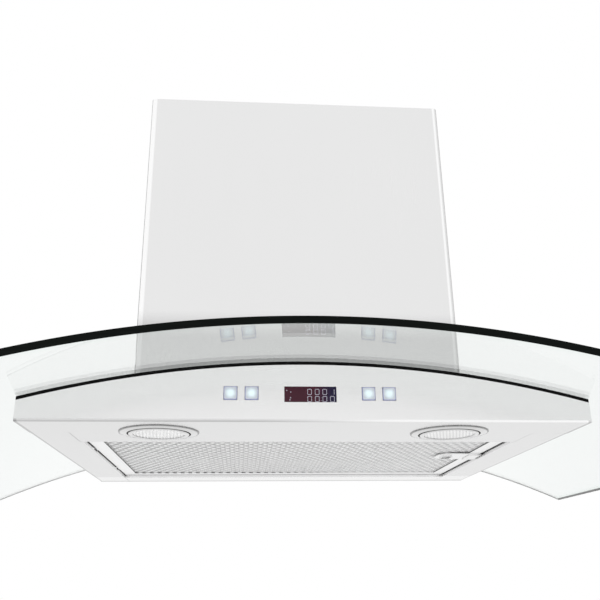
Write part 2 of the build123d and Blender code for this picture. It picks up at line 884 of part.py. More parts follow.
def power_box_lid():
    lid = block((power_span[1], power_span[1] + power_lid), power_y, power_z)
    for y, z in lid_screw_places():
        lid -= rod_x(lid_screw_radius + screw_clearance, (power_span[1], power_span[1] + 2 * power_lid), y, z)
    return lid


def lid_screws():
    screws = []
    outside = power_span[1] + power_lid
    for y, z in lid_screw_places():
        shank = rod_x(lid_screw_radius, (power_span[1] - lid_screw_length, outside), y, z)
        screws.append(shank + rod_x(lid_screw_head_radius, (outside, outside + lid_screw_head), y, z))
    return group(screws)


def cable_grommet():
    x, y = grommet_place()
    z_span = (power_z[1] - power_wall - grommet_rim, power_z[1] + grommet_rim)
    grommet = rod_z(grommet_hole_radius + grommet_rim, z_span, x, y)
    groove = rod_z(grommet_hole_radius + 2 * grommet_rim, (power_z[1] - power_wall, power_z[1]), x, y)
    groove -= rod_z(grommet_hole_radius - grommet_clearance, (power_z[1] - power_wall, power_z[1]), x, y)
    return grommet - groove - rod_z(grommet_bore_radius, z_span, x, y)


def terminal_block():
    floor = power_span[0] + power_wall
    mid = sum(power_y) / 2
    base = power_z[0] + terminal_lift
    body = block((floor, floor + terminal_depth), (mid - terminal_width / 2, mid + terminal_width / 2),
                 (base, base + terminal_height))
    top = body.faces().sort_by(Axis.X)[-1]
    return fillet(top.edges(), terminal_round)


def capacitor():
    floor = power_span[0] + power_wall + capacitor_radius + capacitor_gap
    mid = sum(power_y) / 2
    height = power_z[0] + terminal_lift + terminal_height + 2 * capacitor_radius
    can = rod_y(capacitor_radius, (mid - capacitor_length / 2, mid + capacitor_length / 2), floor, height)
    return fillet(can.edges().filter_by(GeomType.CIRCLE), capacitor_round)


# Controls behind the front panel

def display_window():
    half = display_width / 2 - window_clearance
    rise = display_height / 2 - window_clearance
    window = both_sides(half, (front_face, front_inner), (display_centre - rise, display_centre + rise))
    flange_half = display_width / 2 + window_flange
    flange_rise = display_height / 2 + window_flange
    return window + both_sides(flange_half, (front_inner, front_inner + window_flange_thickness),
                               (display_centre - flange_rise, display_centre + flange_rise))


def display_module():
    half = display_width / 2 + module_margin
    rise = display_height / 2 + module_margin
    return both_sides(half, (front_inner + window_flange_thickness, carrier_rear),
                      (display_centre - rise, display_centre + rise))


def button(x):
    half = button_size / 2
    cap_rear = front_inner + button_rest_gap
    cap = Pos(x, 0, button_centre) * Box(button_size, cap_rear - front_face + button_proud, button_size)
    cap = Pos(0, (cap_rear + front_face - button_proud) / 2, 0) * cap
    cap = fillet(cap.edges().filter_by(Axis.Y), button_corner)
    wide = half + button_flange
    cap += block((x - wide, x + wide), (cap_rear, cap_rear + button_flange_thickness),
                 (button_centre - wide, button_centre + wide))
    stem_rear = carrier_rear - switch_height - button_travel - button_rest_gap
    return cap + rod_y(stem_radius, (cap_rear, stem_rear), x, button_centre)


def button_carrier():
    carrier = both_sides(carrier_half, (front_inner, carrier_rear), carrier_z)
    pocket = button_size / 2 + button_flange + pocket_clearance
    for x in button_places.values():
        carrier -= block((x - pocket, x + pocket), (front_inner, carrier_rear),
                         (button_centre - pocket, button_centre + pocket))
    half = display_width / 2 + window_flange + window_clearance
    rise = display_height / 2 + window_flange + window_clearance
    carrier -= both_sides(half, (front_inner, carrier_rear), (display_centre - rise, display_centre + rise))
    for x, z in board_screw_places():
        carrier -= rod_y(board_screw_radius, (carrier_rear - board_screw_length, carrier_rear), x, z)
    return carrier


def board_screw_places():
    x = carrier_half - board_screw_inset
    for side in sides.values():
        for z in (carrier_z[0] + board_screw_inset, carrier_z[1] - board_screw_inset):
            yield side * x, z


def control_board():
    board = both_sides(carrier_half, (carrier_rear, board_rear), carrier_z)
    for x, z in board_screw_places():
        board -= rod_y(board_screw_radius + screw_clearance, (carrier_rear, board_rear), x, z)
    return board


def board_screws():
    return group(rod_y(board_screw_radius, (carrier_rear - board_screw_length, board_rear), x, z)
                 + rod_y(board_screw_head_radius, (board_rear, board_rear + board_screw_head), x, z)
                 for x, z in board_screw_places())


def button_switches():
    half = switch_size / 2
    return group(block((x - half, x + half), (carrier_rear - switch_height, carrier_rear),
                       (button_centre - half, button_centre + half))
                 for x in button_places.values())


# Lamps

def lamp_x(side):
    return side * lamp_spread / 2


def lamp_bezel(side):
    inner = lens_radius - lens_clearance
    profile = Polyline(
        (inner, -bezel_drop + lens_recess / 2),
        (bezel_rim_radius - bezel_edge, -bezel_drop),
        (bezel_rim_radius, -bezel_drop + bezel_edge / 2),
        (bezel_base_radius, -bezel_edge),
        (bezel_base_radius, 0),
        (lamp_neck_radius, 0),
        (lamp_neck_radius, lamp_neck_height),
        (lamp_bore_radius, lamp_neck_height),
        (lamp_bore_radius, lens_base),
        (inner, lens_base),
        close=True,
    )
    ring = revolve(Plane.XZ * make_face(profile), Axis.Z)
    return Pos(lamp_x(side), lamp_y, 0) * ring


def lamp_lens(side):
    lens = rod_z(lens_seat_radius, (lens_base, lens_base + lens_thickness), lamp_x(side), lamp_y)
    return fillet(lens.edges().group_by(Axis.Z)[-1], lens_round)


def at_both_lamps(shape):
    return group(Pos(lamp_x(side), lamp_y, 0) * shape for side in sides.values())


def lamp_cans():
    can = rod_z(lamp_neck_radius, (lamp_neck_height, lamp_can_top), 0, 0)
    can = fillet(can.edges().group_by(Axis.Z)[-1], lamp_can_wall)
    can -= rod_z(lamp_neck_radius - lamp_can_wall, (lamp_neck_height, lamp_can_top - lamp_can_wall), 0, 0)
    return at_both_lamps(can)


def lamp_boards():
    base = lamp_can_top - lamp_can_wall - lamp_board_thickness
    board = rod_z(lamp_neck_radius - lamp_can_wall, (base, base + lamp_board_thickness), 0, 0)
    chip = Pos(lamp_chip_circle, 0, base - lamp_chip_height / 2)
    chip = chip * Box(lamp_chip_size, lamp_chip_size, lamp_chip_height)
    for index in range(lamp_chip_count):
        board += Rot(0, 0, 360 / lamp_chip_count * index) * chip
    return at_both_lamps(board)


def lamp_clips():
    clips = []
    base = skin + clip_rest_gap
    outside = lamp_neck_radius
    wall = Pos(outside + clip_sheet / 2, 0, (lamp_neck_height + base + clip_rise) / 2)
    wall = wall * Box(clip_sheet, clip_width, base + clip_rise - lamp_neck_height)
    foot = Pos(outside + clip_reach / 2, 0, base + clip_sheet / 2) * Box(clip_reach, clip_width, clip_sheet)
    slope_height = base + clip_rise - clip_sheet
    slope = Pos(outside + clip_reach - clip_sheet / 2, 0, (base + slope_height) / 2)
    slope = slope * Box(clip_sheet, clip_width, slope_height - base)
    roof = Pos(outside + clip_reach / 2, 0, slope_height + clip_sheet / 2)
    roof = roof * Box(clip_reach, clip_width, clip_sheet)
    bore = Pos(0, 0, clip_rise) * Cylinder(outside, 4 * clip_rise)
    foot -= Pos(0, 0, base) * Cylinder(lamp_hole_radius + clip_reach / 2, 2 * clip_rise)
    clip = wall + roof + slope + foot - bore
    for side in sides.values():
        for turn in (0, 180):
            clips.append(Pos(lamp_x(side), lamp_y, 0) * Rot(0, 0, turn) * clip)
    return group(clips)


# Grease filter

def holed_sheet(columns, rows, strand, z_span):
    pitch_x = 2 * mesh_x / columns
    half_depth = (mesh_rear - mesh_front) / 2
    pitch_y = 2 * half_depth / rows
    half_x = pitch_x / 2 - strand / 2
    half_y = pitch_y - strand
    edge = groove_depth - mesh_edge_gap
    outline = Wire.make_rect(2 * (mesh_x + edge), 2 * (half_depth + edge))
    holes = []
    for row in range(rows):
        shift = pitch_x / 4 * (1 if row % 2 else -1)
        y = (row + 0.5 - rows / 2) * pitch_y
        low, high = max(y - half_y, -half_depth), min(y + half_y, half_depth)
        for column in range(columns):
            x = (column + 0.5 - columns / 2) * pitch_x + shift
            left, right = max(x - half_x, -mesh_x), min(x + half_x, mesh_x)
            holes.append(Wire.make_polygon([(left, y), (x, low), (right, y), (x, high)]))
    sheet = extrude(Face(outline, holes), z_span[1] - z_span[0], dir=(0, 0, 1))
    return Pos(0, filter_mid, z_span[0]) * sheet


def filter_frame():
    frame = both_sides(filter_half, (filter_front, filter_rear), (filter_base, filter_top))
    frame -= both_sides(mesh_x, (mesh_front, mesh_rear), (0, 2 * filter_top))
    groove_y = (mesh_front - groove_depth, mesh_rear + groove_depth)
    frame -= both_sides(mesh_x + groove_depth, groove_y, groove_span)
    uprights = frame.edges().filter_by(Axis.Z)
    corners = uprights.filter_by(lambda edge: abs(edge.center().X) > mesh_x + groove_depth)
    frame = fillet(corners, filter_web)
    tab_x = (hinge_x - tab_reach, -filter_half + filter_web)
    for y in tab_places:
        frame += block(tab_x, (y - tab_width / 2, y + tab_width / 2), (filter_base, filter_base + tab_sheet))
    return frame


def filter_mesh():
    base = groove_span[0]
    return holed_sheet(mesh_columns, mesh_rows, mesh_strand, (base, base + mesh_sheet))


def filter_backing():
    top = groove_span[1]
    return holed_sheet(backing_columns, backing_rows, backing_strand, (top - mesh_sheet, top))


def latch_plate():
    z_span = (latch_base, latch_top)
    half = handle_width / 2
    root = mesh_x - guide_clearance
    handle = block((root - handle_length, root), (latch_y - half, latch_y + half), z_span)
    ends = handle.edges().filter_by(Axis.Z).group_by(Axis.X)[0]
    handle = fillet(ends, half - finger_inset / 2)
    neck_y = (latch_y - neck_half, latch_y + neck_half)
    plate = handle + block((root - finger_inset, latch_tip), neck_y, z_span)
    slot_x = root - handle_length + finger_inset + finger_length / 2
    slot = SlotOverall(finger_width, finger_length, rotation=90)
    rim = SlotOverall(finger_width + 2 * finger_lip, finger_length + 2 * finger_lip, rotation=90)
    plate += Pos(slot_x, latch_y, latch_base - finger_lip_drop) * extrude(rim, finger_lip_drop)
    plate -= Pos(slot_x, latch_y, latch_base) * extrude(slot, 2 * latch_sheet, both=True)
    half_window = spring_window_width / 2
    return plate - block(spring_window, (latch_y - half_window, latch_y + half_window), (0, filter_base))


def latch_guide():
    x_span = (mesh_x + guide_clearance, filter_half - guide_clearance)
    z_span = (latch_base - latch_gap - guide_sheet, latch_base - latch_gap)
    inside = neck_half + guide_clearance
    outside = inside + guide_leg
    guide = block(x_span, (latch_y - outside, latch_y + outside), z_span)
    for side in sides.values():
        low, high = across(side, inside, outside)
        guide += block(x_span, (latch_y + low, latch_y + high), (z_span[0], filter_base))
    post = (spring_window[0] + guide_clearance, spring_window[0] + guide_clearance + spring_post)
    return guide + block(post, (latch_y - guide_leg, latch_y + guide_leg), (z_span[0], filter_base))


def latch_spring():
    low, high = spring_span
    reach = spring_window_width / 2 - 2 * spring_sheet
    front, rear = latch_y - reach, latch_y + reach
    outer = ThreePointArc((high, front - spring_sheet), (low, latch_y), (high, rear + spring_sheet))
    inner = ThreePointArc((high, front), (low + spring_sheet, latch_y), (high, rear))
    feet = [
        Line((high, front - spring_sheet), (high, front)),
        Line((high, rear), (high, rear + spring_sheet)),
    ]
    bow = extrude(make_face([outer, inner] + feet), spring_height)
    return Pos(0, 0, latch_base + (latch_sheet - spring_height) / 2) * bow


def pieces():
    made = {
        "glass_canopy": glass_canopy(),
        "glass_gasket": glass_gasket(),
        "glass_bushes": glass_bushes(),
        "glass_screws": glass_screws(),
        "glass_nuts": glass_nuts(),
        "front_panel": front_panel(),
        "left_side_panel": left_side_panel(),
        "right_side_panel": right_side_panel(),
        "back_panel": back_panel(),
        "top_deck": top_deck(),
        "wall_plate": wall_plate(),
        "blower_box": blower_box(),
        "box_screws": box_screws(),
        "scroll_band": scroll_band(),
        "scroll_left_plate": scroll_plate(-1),
        "scroll_right_plate": scroll_plate(1),
        "fan_wheel": fan_wheel(),
        "motor_shaft": motor_shaft(),
        "motor_rotor": motor_rotor(),
        "motor_can": motor_can(),
        "motor_stator": motor_stator(),
        "motor_bearings": motor_bearings(),
        "motor_bracket": motor_bracket(),
        "outlet_collar": outlet_collar(),
        "flap_pin": flap_pin(),
        "front_flap": front_flap(),
        "rear_flap": rear_flap(),
        "lower_duct_cover": lower_duct_cover(),
        "upper_duct_cover": upper_duct_cover(),
        "upper_cover_bracket": upper_cover_bracket(),
        "cover_screws": cover_screws(),
        "power_box": power_box(),
        "power_box_lid": power_box_lid(),
        "lid_screws": lid_screws(),
        "cable_grommet": cable_grommet(),
        "terminal_block": terminal_block(),
        "capacitor": capacitor(),
        "display_window": display_window(),
        "display_module": display_module(),
        "button_carrier": button_carrier(),
        "control_board": control_board(),
        "board_screws": board_screws(),
        "button_switches": button_switches(),
        "lamp_cans": lamp_cans(),
        "lamp_boards": lamp_boards(),
        "lamp_clips": lamp_clips(),
        "filter_frame": filter_frame(),
        "filter_mesh": filter_mesh(),
        "filter_backing": filter_backing(),
        "latch_plate": latch_plate(),
        "latch_guide": latch_guide(),
        "latch_spring": latch_spring(),
    }
    for name, x in button_places.items():
        made[name] = button(x)
    for name, side in sides.items():
        made[name + "_lamp_bezel"] = lamp_bezel(side)
        made[name + "_lamp_lens"] = lamp_lens(side)
    return made


def main():
    os.makedirs("parts", exist_ok=True)
    for name, shape in pieces().items():
        export_step(Pos(0, 0, -origin_height) * shape, os.path.join("parts", name + ".step"))


main()
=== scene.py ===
import bmesh
import bpy
import json
from math import asin, ceil, cos, pi, radians, sin
from mathutils import Matrix, Vector


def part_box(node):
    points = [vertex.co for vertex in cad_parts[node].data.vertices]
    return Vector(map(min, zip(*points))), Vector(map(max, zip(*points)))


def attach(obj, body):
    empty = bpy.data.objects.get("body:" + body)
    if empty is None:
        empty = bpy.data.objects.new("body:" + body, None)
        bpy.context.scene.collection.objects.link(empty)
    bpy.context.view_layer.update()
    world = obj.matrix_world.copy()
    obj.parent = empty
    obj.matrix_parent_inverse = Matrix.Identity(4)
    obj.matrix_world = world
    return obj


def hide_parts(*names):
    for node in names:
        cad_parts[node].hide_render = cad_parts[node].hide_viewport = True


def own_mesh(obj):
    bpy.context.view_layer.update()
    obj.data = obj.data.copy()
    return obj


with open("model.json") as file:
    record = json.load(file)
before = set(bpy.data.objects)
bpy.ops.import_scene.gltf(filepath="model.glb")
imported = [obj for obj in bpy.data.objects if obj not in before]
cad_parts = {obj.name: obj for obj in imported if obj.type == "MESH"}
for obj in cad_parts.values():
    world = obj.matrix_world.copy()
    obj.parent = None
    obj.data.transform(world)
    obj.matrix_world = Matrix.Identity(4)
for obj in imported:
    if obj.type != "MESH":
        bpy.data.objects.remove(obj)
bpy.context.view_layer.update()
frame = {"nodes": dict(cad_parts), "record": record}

nodes = frame["nodes"]
slotOf = {part["node"]: part["material_slot"] for part in frame["record"]["subparts"]}
bodyOf = {node: body for body, members in frame["record"]["behaviour"]["bodies"].items() for node in members}
print("frame loaded:", len(nodes), "nodes")


# Hand tools: small steps that every piece below uses

def clearSelection():
    if bpy.context.mode != "OBJECT":
        bpy.ops.object.mode_set(mode="OBJECT")
    bpy.ops.object.select_all(action="DESELECT")


def takeUp(piece):
    clearSelection()
    piece.select_set(True)
    bpy.context.view_layer.objects.active = piece


def freeze():  # the piece's place, turn and scale go into its mesh
    bpy.ops.object.transform_apply(location=True, rotation=True, scale=True)


def openMesh(piece, pickBy):
    takeUp(piece)
    bpy.ops.object.mode_set(mode="EDIT")
    bpy.ops.mesh.select_mode(type=pickBy)
    bpy.ops.mesh.select_all(action="DESELECT")
    return bmesh.from_edit_mesh(piece.data)


def pickThese(piece, chosen):
    for item in chosen:
        item.select_set(True)
    bmesh.update_edit_mesh(piece.data)
    return len(chosen)


def pickFaces(piece, test):
    work = openMesh(piece, "FACE")
    return pickThese(piece, [face for face in work.faces if test(face.calc_center_median(), face.normal)])


def pickEdges(piece, test):
    work = openMesh(piece, "EDGE")
    return pickThese(piece, [edge for edge in work.edges if test(edge.verts[0].co, edge.verts[1].co)])


def pickAll(piece, pickBy="FACE"):
    openMesh(piece, pickBy)
    bpy.ops.mesh.select_all(action="SELECT")


def useModifier(piece, kind, **values):
    takeUp(piece)
    step = piece.modifiers.new(kind.title(), kind)
    for name, value in values.items():
        setattr(step, name, value)
    bpy.ops.object.modifier_apply(modifier=step.name)


def cutAway(piece, cutter, operation="DIFFERENCE"):
    useModifier(piece, "BOOLEAN", operation=operation, object=cutter, solver="EXACT")
    bpy.data.objects.remove(cutter)


def addBlock(low, high):
    clearSelection()
    middle = [(a + b) / 2 for a, b in zip(low, high)]
    bpy.ops.mesh.primitive_cube_add(size=1, location=middle)
    block = bpy.context.object
    block.scale = [b - a for a, b in zip(low, high)]
    freeze()
    return block


def closeUp(piece, reach=1e-6):  # joins what meets and turns the faces outwards
    pickAll(piece)
    bpy.ops.mesh.remove_doubles(threshold=reach)
    bpy.ops.mesh.normals_make_consistent(inside=False)
    clearSelection()


def roundEdges(piece, width, steps, angle=35):
    useModifier(piece, "BEVEL", width=width, segments=steps, limit_method="ANGLE", angle_limit=radians(angle),
                use_clamp_overlap=True, harden_normals=False)


def smoothShade(piece, angle=30):  # flat faces stay flat and only the small rounds between them are smoothed
    takeUp(piece)
    bpy.ops.object.shade_smooth_by_angle(angle=radians(angle))
    useModifier(piece, "WEIGHTED_NORMAL", mode="FACE_AREA", weight=100, keep_sharp=True)


def joinPieces(pieces):
    takeUp(pieces[0])
    for piece in pieces:
        piece.select_set(True)
    bpy.ops.object.join()
    return bpy.context.object


def copyPiece(piece, shift=(0, 0, 0)):  # a copy with a mesh of its own
    takeUp(piece)
    bpy.ops.object.duplicate(linked=False)
    copy = bpy.context.object
    copy.location = Vector(copy.location) + Vector(shift)
    freeze()
    return copy


def copyNode(name):  # a clean copy of a node's shape, ready to be worked on
    takeUp(nodes[name])
    bpy.ops.object.duplicate(linked=False)
    copy = bpy.context.object
    for key in list(copy.keys()):
        del copy[key]
    bpy.ops.mesh.customdata_custom_splitnormals_clear()
    pickAll(copy)
    bpy.ops.mesh.remove_doubles(threshold=2e-6)
    bpy.ops.mesh.dissolve_limited(angle_limit=radians(0.3))
    clearSelection()
    return copy


def turnProfile(profile, centre, steps):  # a round form: a circle, extruded and scaled from point to point
    clearSelection()
    radius, height = profile[0]
    bpy.ops.mesh.primitive_circle_add(vertices=steps, radius=radius, fill_type="NOTHING",
                                      location=(centre[0], centre[1], height))
    piece = bpy.context.object
    freeze()
    pickAll(piece, "EDGE")
    for nextRadius, nextHeight in profile[1:]:
        bpy.ops.mesh.extrude_edges_move(TRANSFORM_OT_translate={"value": (0, 0, nextHeight - height)})
        grow = nextRadius / radius
        bpy.ops.transform.resize(value=(grow, grow, 1), center_override=(centre[0], centre[1], nextHeight))
        radius, height = nextRadius, nextHeight
    closeUp(piece)
    return piece


def dress(piece, *materials):
    piece.data.materials.clear()
    for material in materials:
        piece.data.materials.append(material)


def giveFaces(piece, index, test):  # gives the faces that pass the test the piece's material of that number
    for face in piece.data.polygons:
        if test(face.center, face.normal):
            face.material_index = index


def trimNode(name, edge, steps, material, change=None):  # a node's own shape with its sharp edges broken
    piece = copyNode(name)
    if change:
        change(piece)
    roundEdges(piece, edge, steps, 40)
    smoothShade(piece)
    dress(piece, material)
    return piece


def settle(piece, name, body, slot, *replaced):
    takeUp(piece)
    freeze()
    piece.name = name
    piece.data.name = name
    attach(piece, body)
    if replaced:
        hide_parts(*replaced)
    clearSelection()


def pieceName(node):  # front_panel becomes frontPanel
    first, *rest = node.split("_")
    return first + "".join(word.title() for word in rest)


def settleFor(piece, node):  # the piece takes the node's place on its body
    settle(piece, pieceName(node), bodyOf[node], slotOf[node], node)


# Node tools: values, sockets and colours in one material's tree

def feed(tree, value, socket):  # a link from a socket, or a plain value
    if isinstance(value, bpy.types.NodeSocket):
        tree.links.new(value, socket)
    else:
        socket.default_value = value


def mathNode(tree, operation, *values):
    node = tree.nodes.new("ShaderNodeMath")
    node.operation = operation
    for socket, value in zip(node.inputs, values):
        feed(tree, value, socket)
    return node.outputs[0]


def restOf(tree, value):
    return mathNode(tree, "SUBTRACT", 1.0, value)


def timesAll(tree, result, *others):
    for other in others:
        result = mathNode(tree, "MULTIPLY", result, other)
    return result


def rampNode(tree, value, span, levels, kind="SMOOTHSTEP"):  # from one level to the other across the span
    node = tree.nodes.new("ShaderNodeMapRange")
    node.interpolation_type = kind
    for key, item in zip(("Value", "From Min", "From Max", "To Min", "To Max"), (value, *span, *levels)):
        feed(tree, item, node.inputs[key])
    return node.outputs["Result"]


def mixNode(tree, factor, first, second, blend="MIX"):  # two colours
    node = tree.nodes.new("ShaderNodeMix")
    node.data_type = "RGBA"
    node.blend_type = blend
    for key, value in (("Factor", factor), ("A", first), ("B", second)):
        feed(tree, value, node.inputs[key])
    return node.outputs["Result"]


def mixShaders(tree, factor, first, second, end):
    node = tree.nodes.new("ShaderNodeMixShader")
    for value, socket in zip((factor, first.outputs[0], second.outputs[0]), node.inputs):
        feed(tree, value, socket)
    feed(tree, node.outputs[0], tree.nodes[end].inputs["Surface"])


def placeSplit(tree, kind="Object"):
    place = tree.nodes.new("ShaderNodeTexCoord")
    split = tree.nodes.new("ShaderNodeSeparateXYZ")
    feed(tree, place.outputs[kind], split.inputs[0])
    return [split.outputs[axis] for axis in "XYZ"]


def shaderOf(material):
    return material.node_tree.nodes["Principled BSDF"].inputs


def newMaterial(name):
    material = bpy.data.materials.new(name)
    material.use_nodes = True
    return material, material.node_tree, shaderOf(material)


def setPlain(sockets, values):  # what is the same all over the surface
    for key, value in values.items():
        sockets[key].default_value = value


# Camera, light and floor

cameraSettings = {"place": (-0.05596, -1.00054, -0.29502), "yaw": 4.584, "pitch": 20.723, "roll": -0.754,
                  "lens": 43.894, "sensor": 36.0, "near": 0.01}


def setCamera():
    yaw, pitch, roll = (radians(cameraSettings[key]) for key in ("yaw", "pitch", "roll"))
    forward = Vector((sin(yaw) * cos(pitch), cos(yaw) * cos(pitch), sin(pitch)))
    level = Vector((cos(yaw), -sin(yaw), 0))
    upright = level.cross(forward)
    right = level * cos(roll) + upright * sin(roll)
    up = upright * cos(roll) - level * sin(roll)
    turn = Matrix((right, up, -forward)).transposed().to_euler()
    clearSelection()
    bpy.ops.object.camera_add(location=cameraSettings["place"], rotation=turn)
    camera = bpy.context.object
    camera.name = "photoCamera"
    camera.data.lens = cameraSettings["lens"]
    camera.data.sensor_width = cameraSettings["sensor"]
    camera.data.clip_start = cameraSettings["near"]
    bpy.context.scene.camera = camera


hoodMiddle = (0, -0.25, -0.05)
studioSettings = {
    "sky": 0.74,               # what matt surfaces get from all round
    "backdrop": 1.0,           # what the camera, metal and glass see
    "floorHeight": -0.95, "floorReach": 40.0, "floorWhite": 0.86,
    "floorFade": (0.9, 3.2),   # from here to there the floor melts into the backdrop
    "floorGlow": (0.62, 1.0),
    # in metal the wall side of the room is darker, and the right side a little
    "rearTurn": (0.22, 0.52), "rearShade": 0.3, "rightTurn": (0.30, 0.80), "rightShade": 0.72,
    # name, place, aim, width, height and power; lamps light matt surfaces and don't show in metal
    "lamps": (
        ("keyLamp", (-1.5, -2.2, 1.7), hoodMiddle, 1.8, 1.8, 26.0),
        ("fillLamp", (1.9, -1.6, 0.6), hoodMiddle, 1.4, 1.4, 9.0),
        ("sideStrip", (-2.2, -0.95, 0.15), hoodMiddle, 2.4, 1.6, 15.0),
        ("underLamp", (0.1, -0.4, -0.93), (0.1, -0.4, 0.0), 1.1, 0.6, 1.05),
    ),
}


def seenRays(tree):  # 1 for what the camera, metal and glass see
    path = tree.nodes.new("ShaderNodeLightPath").outputs
    seen = mathNode(tree, "MAXIMUM", path["Is Camera Ray"], path["Is Glossy Ray"])
    return mathNode(tree, "MAXIMUM", seen, path["Is Transmission Ray"])


def setWorld():
    world = bpy.data.worlds.new("whiteStudio")
    world.use_nodes = True
    tree = world.node_tree
    soft = tree.nodes["Background"]
    setPlain(soft.inputs, {"Color": (1, 1, 1, 1), "Strength": studioSettings["sky"]})
    seen = tree.nodes.new("ShaderNodeBackground")
    setPlain(seen.inputs, {"Strength": studioSettings["backdrop"]})
    path = tree.nodes.new("ShaderNodeLightPath").outputs
    inMetal = timesAll(tree, path["Is Glossy Ray"], restOf(tree, path["Is Transmission Ray"]))
    x, y, z = placeSplit(tree, "Generated")
    shades = [rampNode(tree, value, studioSettings[side + "Turn"],
                       (0.0, 1.0 - studioSettings[side + "Shade"]))
              for value, side in ((y, "rear"), (x, "right"))]
    shade = timesAll(tree, inMetal, mathNode(tree, "MAXIMUM", *shades))
    feed(tree, restOf(tree, shade), seen.inputs["Color"])
    mixShaders(tree, seenRays(tree), soft, seen, "World Output")
    bpy.context.scene.world = world


def setFloor():
    clearSelection()
    bpy.ops.mesh.primitive_plane_add(size=2 * studioSettings["floorReach"],
                                     location=(0, 0, studioSettings["floorHeight"]))
    floor = bpy.context.object
    floor.name = "studioFloor"
    material, tree, shader = newMaterial("paleFloor")
    white = studioSettings["floorWhite"]
    setPlain(shader, {"Base Color": (white, white, white, 1), "Roughness": 0.9, "Specular IOR Level": 0.0})
    place = tree.nodes.new("ShaderNodeTexCoord")
    away = tree.nodes.new("ShaderNodeVectorMath")
    away.operation = "LENGTH"
    feed(tree, place.outputs["Object"], away.inputs[0])
    fade = rampNode(tree, away.outputs["Value"], studioSettings["floorFade"], studioSettings["floorGlow"])
    mixShaders(tree, timesAll(tree, fade, seenRays(tree)), tree.nodes["Principled BSDF"],
               tree.nodes.new("ShaderNodeEmission"), "Material Output")
    floor.data.materials.append(material)


def addLamp(name, place, aim, width, height, power):
    clearSelection()
    turn = (Vector(aim) - Vector(place)).to_track_quat("-Z", "Y").to_euler()
    bpy.ops.object.light_add(type="AREA", location=place, rotation=turn)
    lamp = bpy.context.object
    lamp.name = name
    lamp.data.shape = "RECTANGLE"
    lamp.data.size = width
    lamp.data.size_y = height
    lamp.data.energy = power
    lamp.visible_glossy = False
    lamp.visible_camera = False
    lamp.visible_transmission = False


def setStage():
    setWorld()
    setFloor()
    for settings in studioSettings["lamps"]:
        addLamp(*settings)
    bpy.context.scene.view_settings.view_transform = "Standard"


setCamera()
setStage()
print("camera, floor and lights set")


# Finishes

grainSettings = {
    "roughness": 0.65, "spread": (0.3, 0.7),
    "patchScale": 7.0, "patchDetail": 2.0, "patchShare": 0.35,   # broad, soft changes over the marks
}


def buildGrain():
    group = bpy.data.node_groups.new("surfaceGrain", "ShaderNodeTree")
    for name, kind in (("Vector", "Vector"), ("Scale", "Float"), ("Detail", "Float"), ("Low", "Color"),
                       ("High", "Color"), ("Smooth", "Float"), ("Rough", "Float")):
        group.interface.new_socket(name, in_out="INPUT", socket_type="NodeSocket" + kind)
    for name, kind in (("Color", "Color"), ("Roughness", "Float"), ("Height", "Float")):
        group.interface.new_socket(name, in_out="OUTPUT", socket_type="NodeSocket" + kind)
    start = group.nodes.new("NodeGroupInput").outputs
    end = group.nodes.new("NodeGroupOutput").inputs
    marks = group.nodes.new("ShaderNodeTexNoise")
    patches = group.nodes.new("ShaderNodeTexNoise")
    place = group.nodes.new("ShaderNodeTexCoord")
    blend = group.nodes.new("ShaderNodeMix")
    for key in ("Vector", "Scale", "Detail"):
        feed(group, start[key], marks.inputs[key])
    setPlain(marks.inputs, {"Roughness": grainSettings["roughness"]})
    feed(group, place.outputs["Object"], patches.inputs["Vector"])
    setPlain(patches.inputs, {"Scale": grainSettings["patchScale"], "Detail": grainSettings["patchDetail"]})
    setPlain(blend.inputs, {"Factor": grainSettings["patchShare"]})
    feed(group, marks.outputs["Fac"], blend.inputs["A"])
    feed(group, patches.outputs["Fac"], blend.inputs["B"])
    spread = rampNode(group, blend.outputs["Result"], grainSettings["spread"], (0.0, 1.0), "LINEAR")
    sheen = rampNode(group, spread, (0.0, 1.0), (start["Smooth"], start["Rough"]), "LINEAR")
    feed(group, mixNode(group, spread, start["Low"], start["High"]), end["Color"])
    feed(group, sheen, end["Roughness"])
    feed(group, marks.outputs["Fac"], end["Height"])
    return group


grain = buildGrain()


def grey(value):
    return (value, value, value, 1.0)


def grainFinish(name, low, high, rough, stretch=(1, 1, 1), scale=60.0, detail=3.0, metal=0.0, bump=0.0):
    material, tree, shader = newMaterial(name)
    setPlain(shader, {"Metallic": metal})
    place = tree.nodes.new("ShaderNodeTexCoord")
    mapping = tree.nodes.new("ShaderNodeMapping")
    setPlain(mapping.inputs, {"Scale": stretch})
    feed(tree, place.outputs["Object"], mapping.inputs["Vector"])
    texture = tree.nodes.new("ShaderNodeGroup")
    texture.node_tree = grain
    texture.name = "grain"
    for key, value in (("Vector", mapping.outputs["Vector"]), ("Scale", scale), ("Detail", detail),
                       ("Low", low), ("High", high), ("Smooth", rough[0]), ("Rough", rough[1])):
        feed(tree, value, texture.inputs[key])
    feed(tree, texture.outputs["Color"], shader["Base Color"])
    feed(tree, texture.outputs["Roughness"], shader["Roughness"])
    if bump:
        relief = tree.nodes.new("ShaderNodeBump")
        setPlain(relief.inputs, {"Strength": 1.0, "Distance": bump})
        feed(tree, texture.outputs["Height"], relief.inputs["Height"])
        feed(tree, relief.outputs["Normal"], shader["Normal"])
    return material


def shadeBy(material, factor):  # the material's grain colour times the factor
    tree = material.node_tree
    shaded = mixNode(tree, 1.0, tree.nodes["grain"].outputs["Color"], factor, "MULTIPLY")
    feed(tree, shaded, shaderOf(material)["Base Color"])


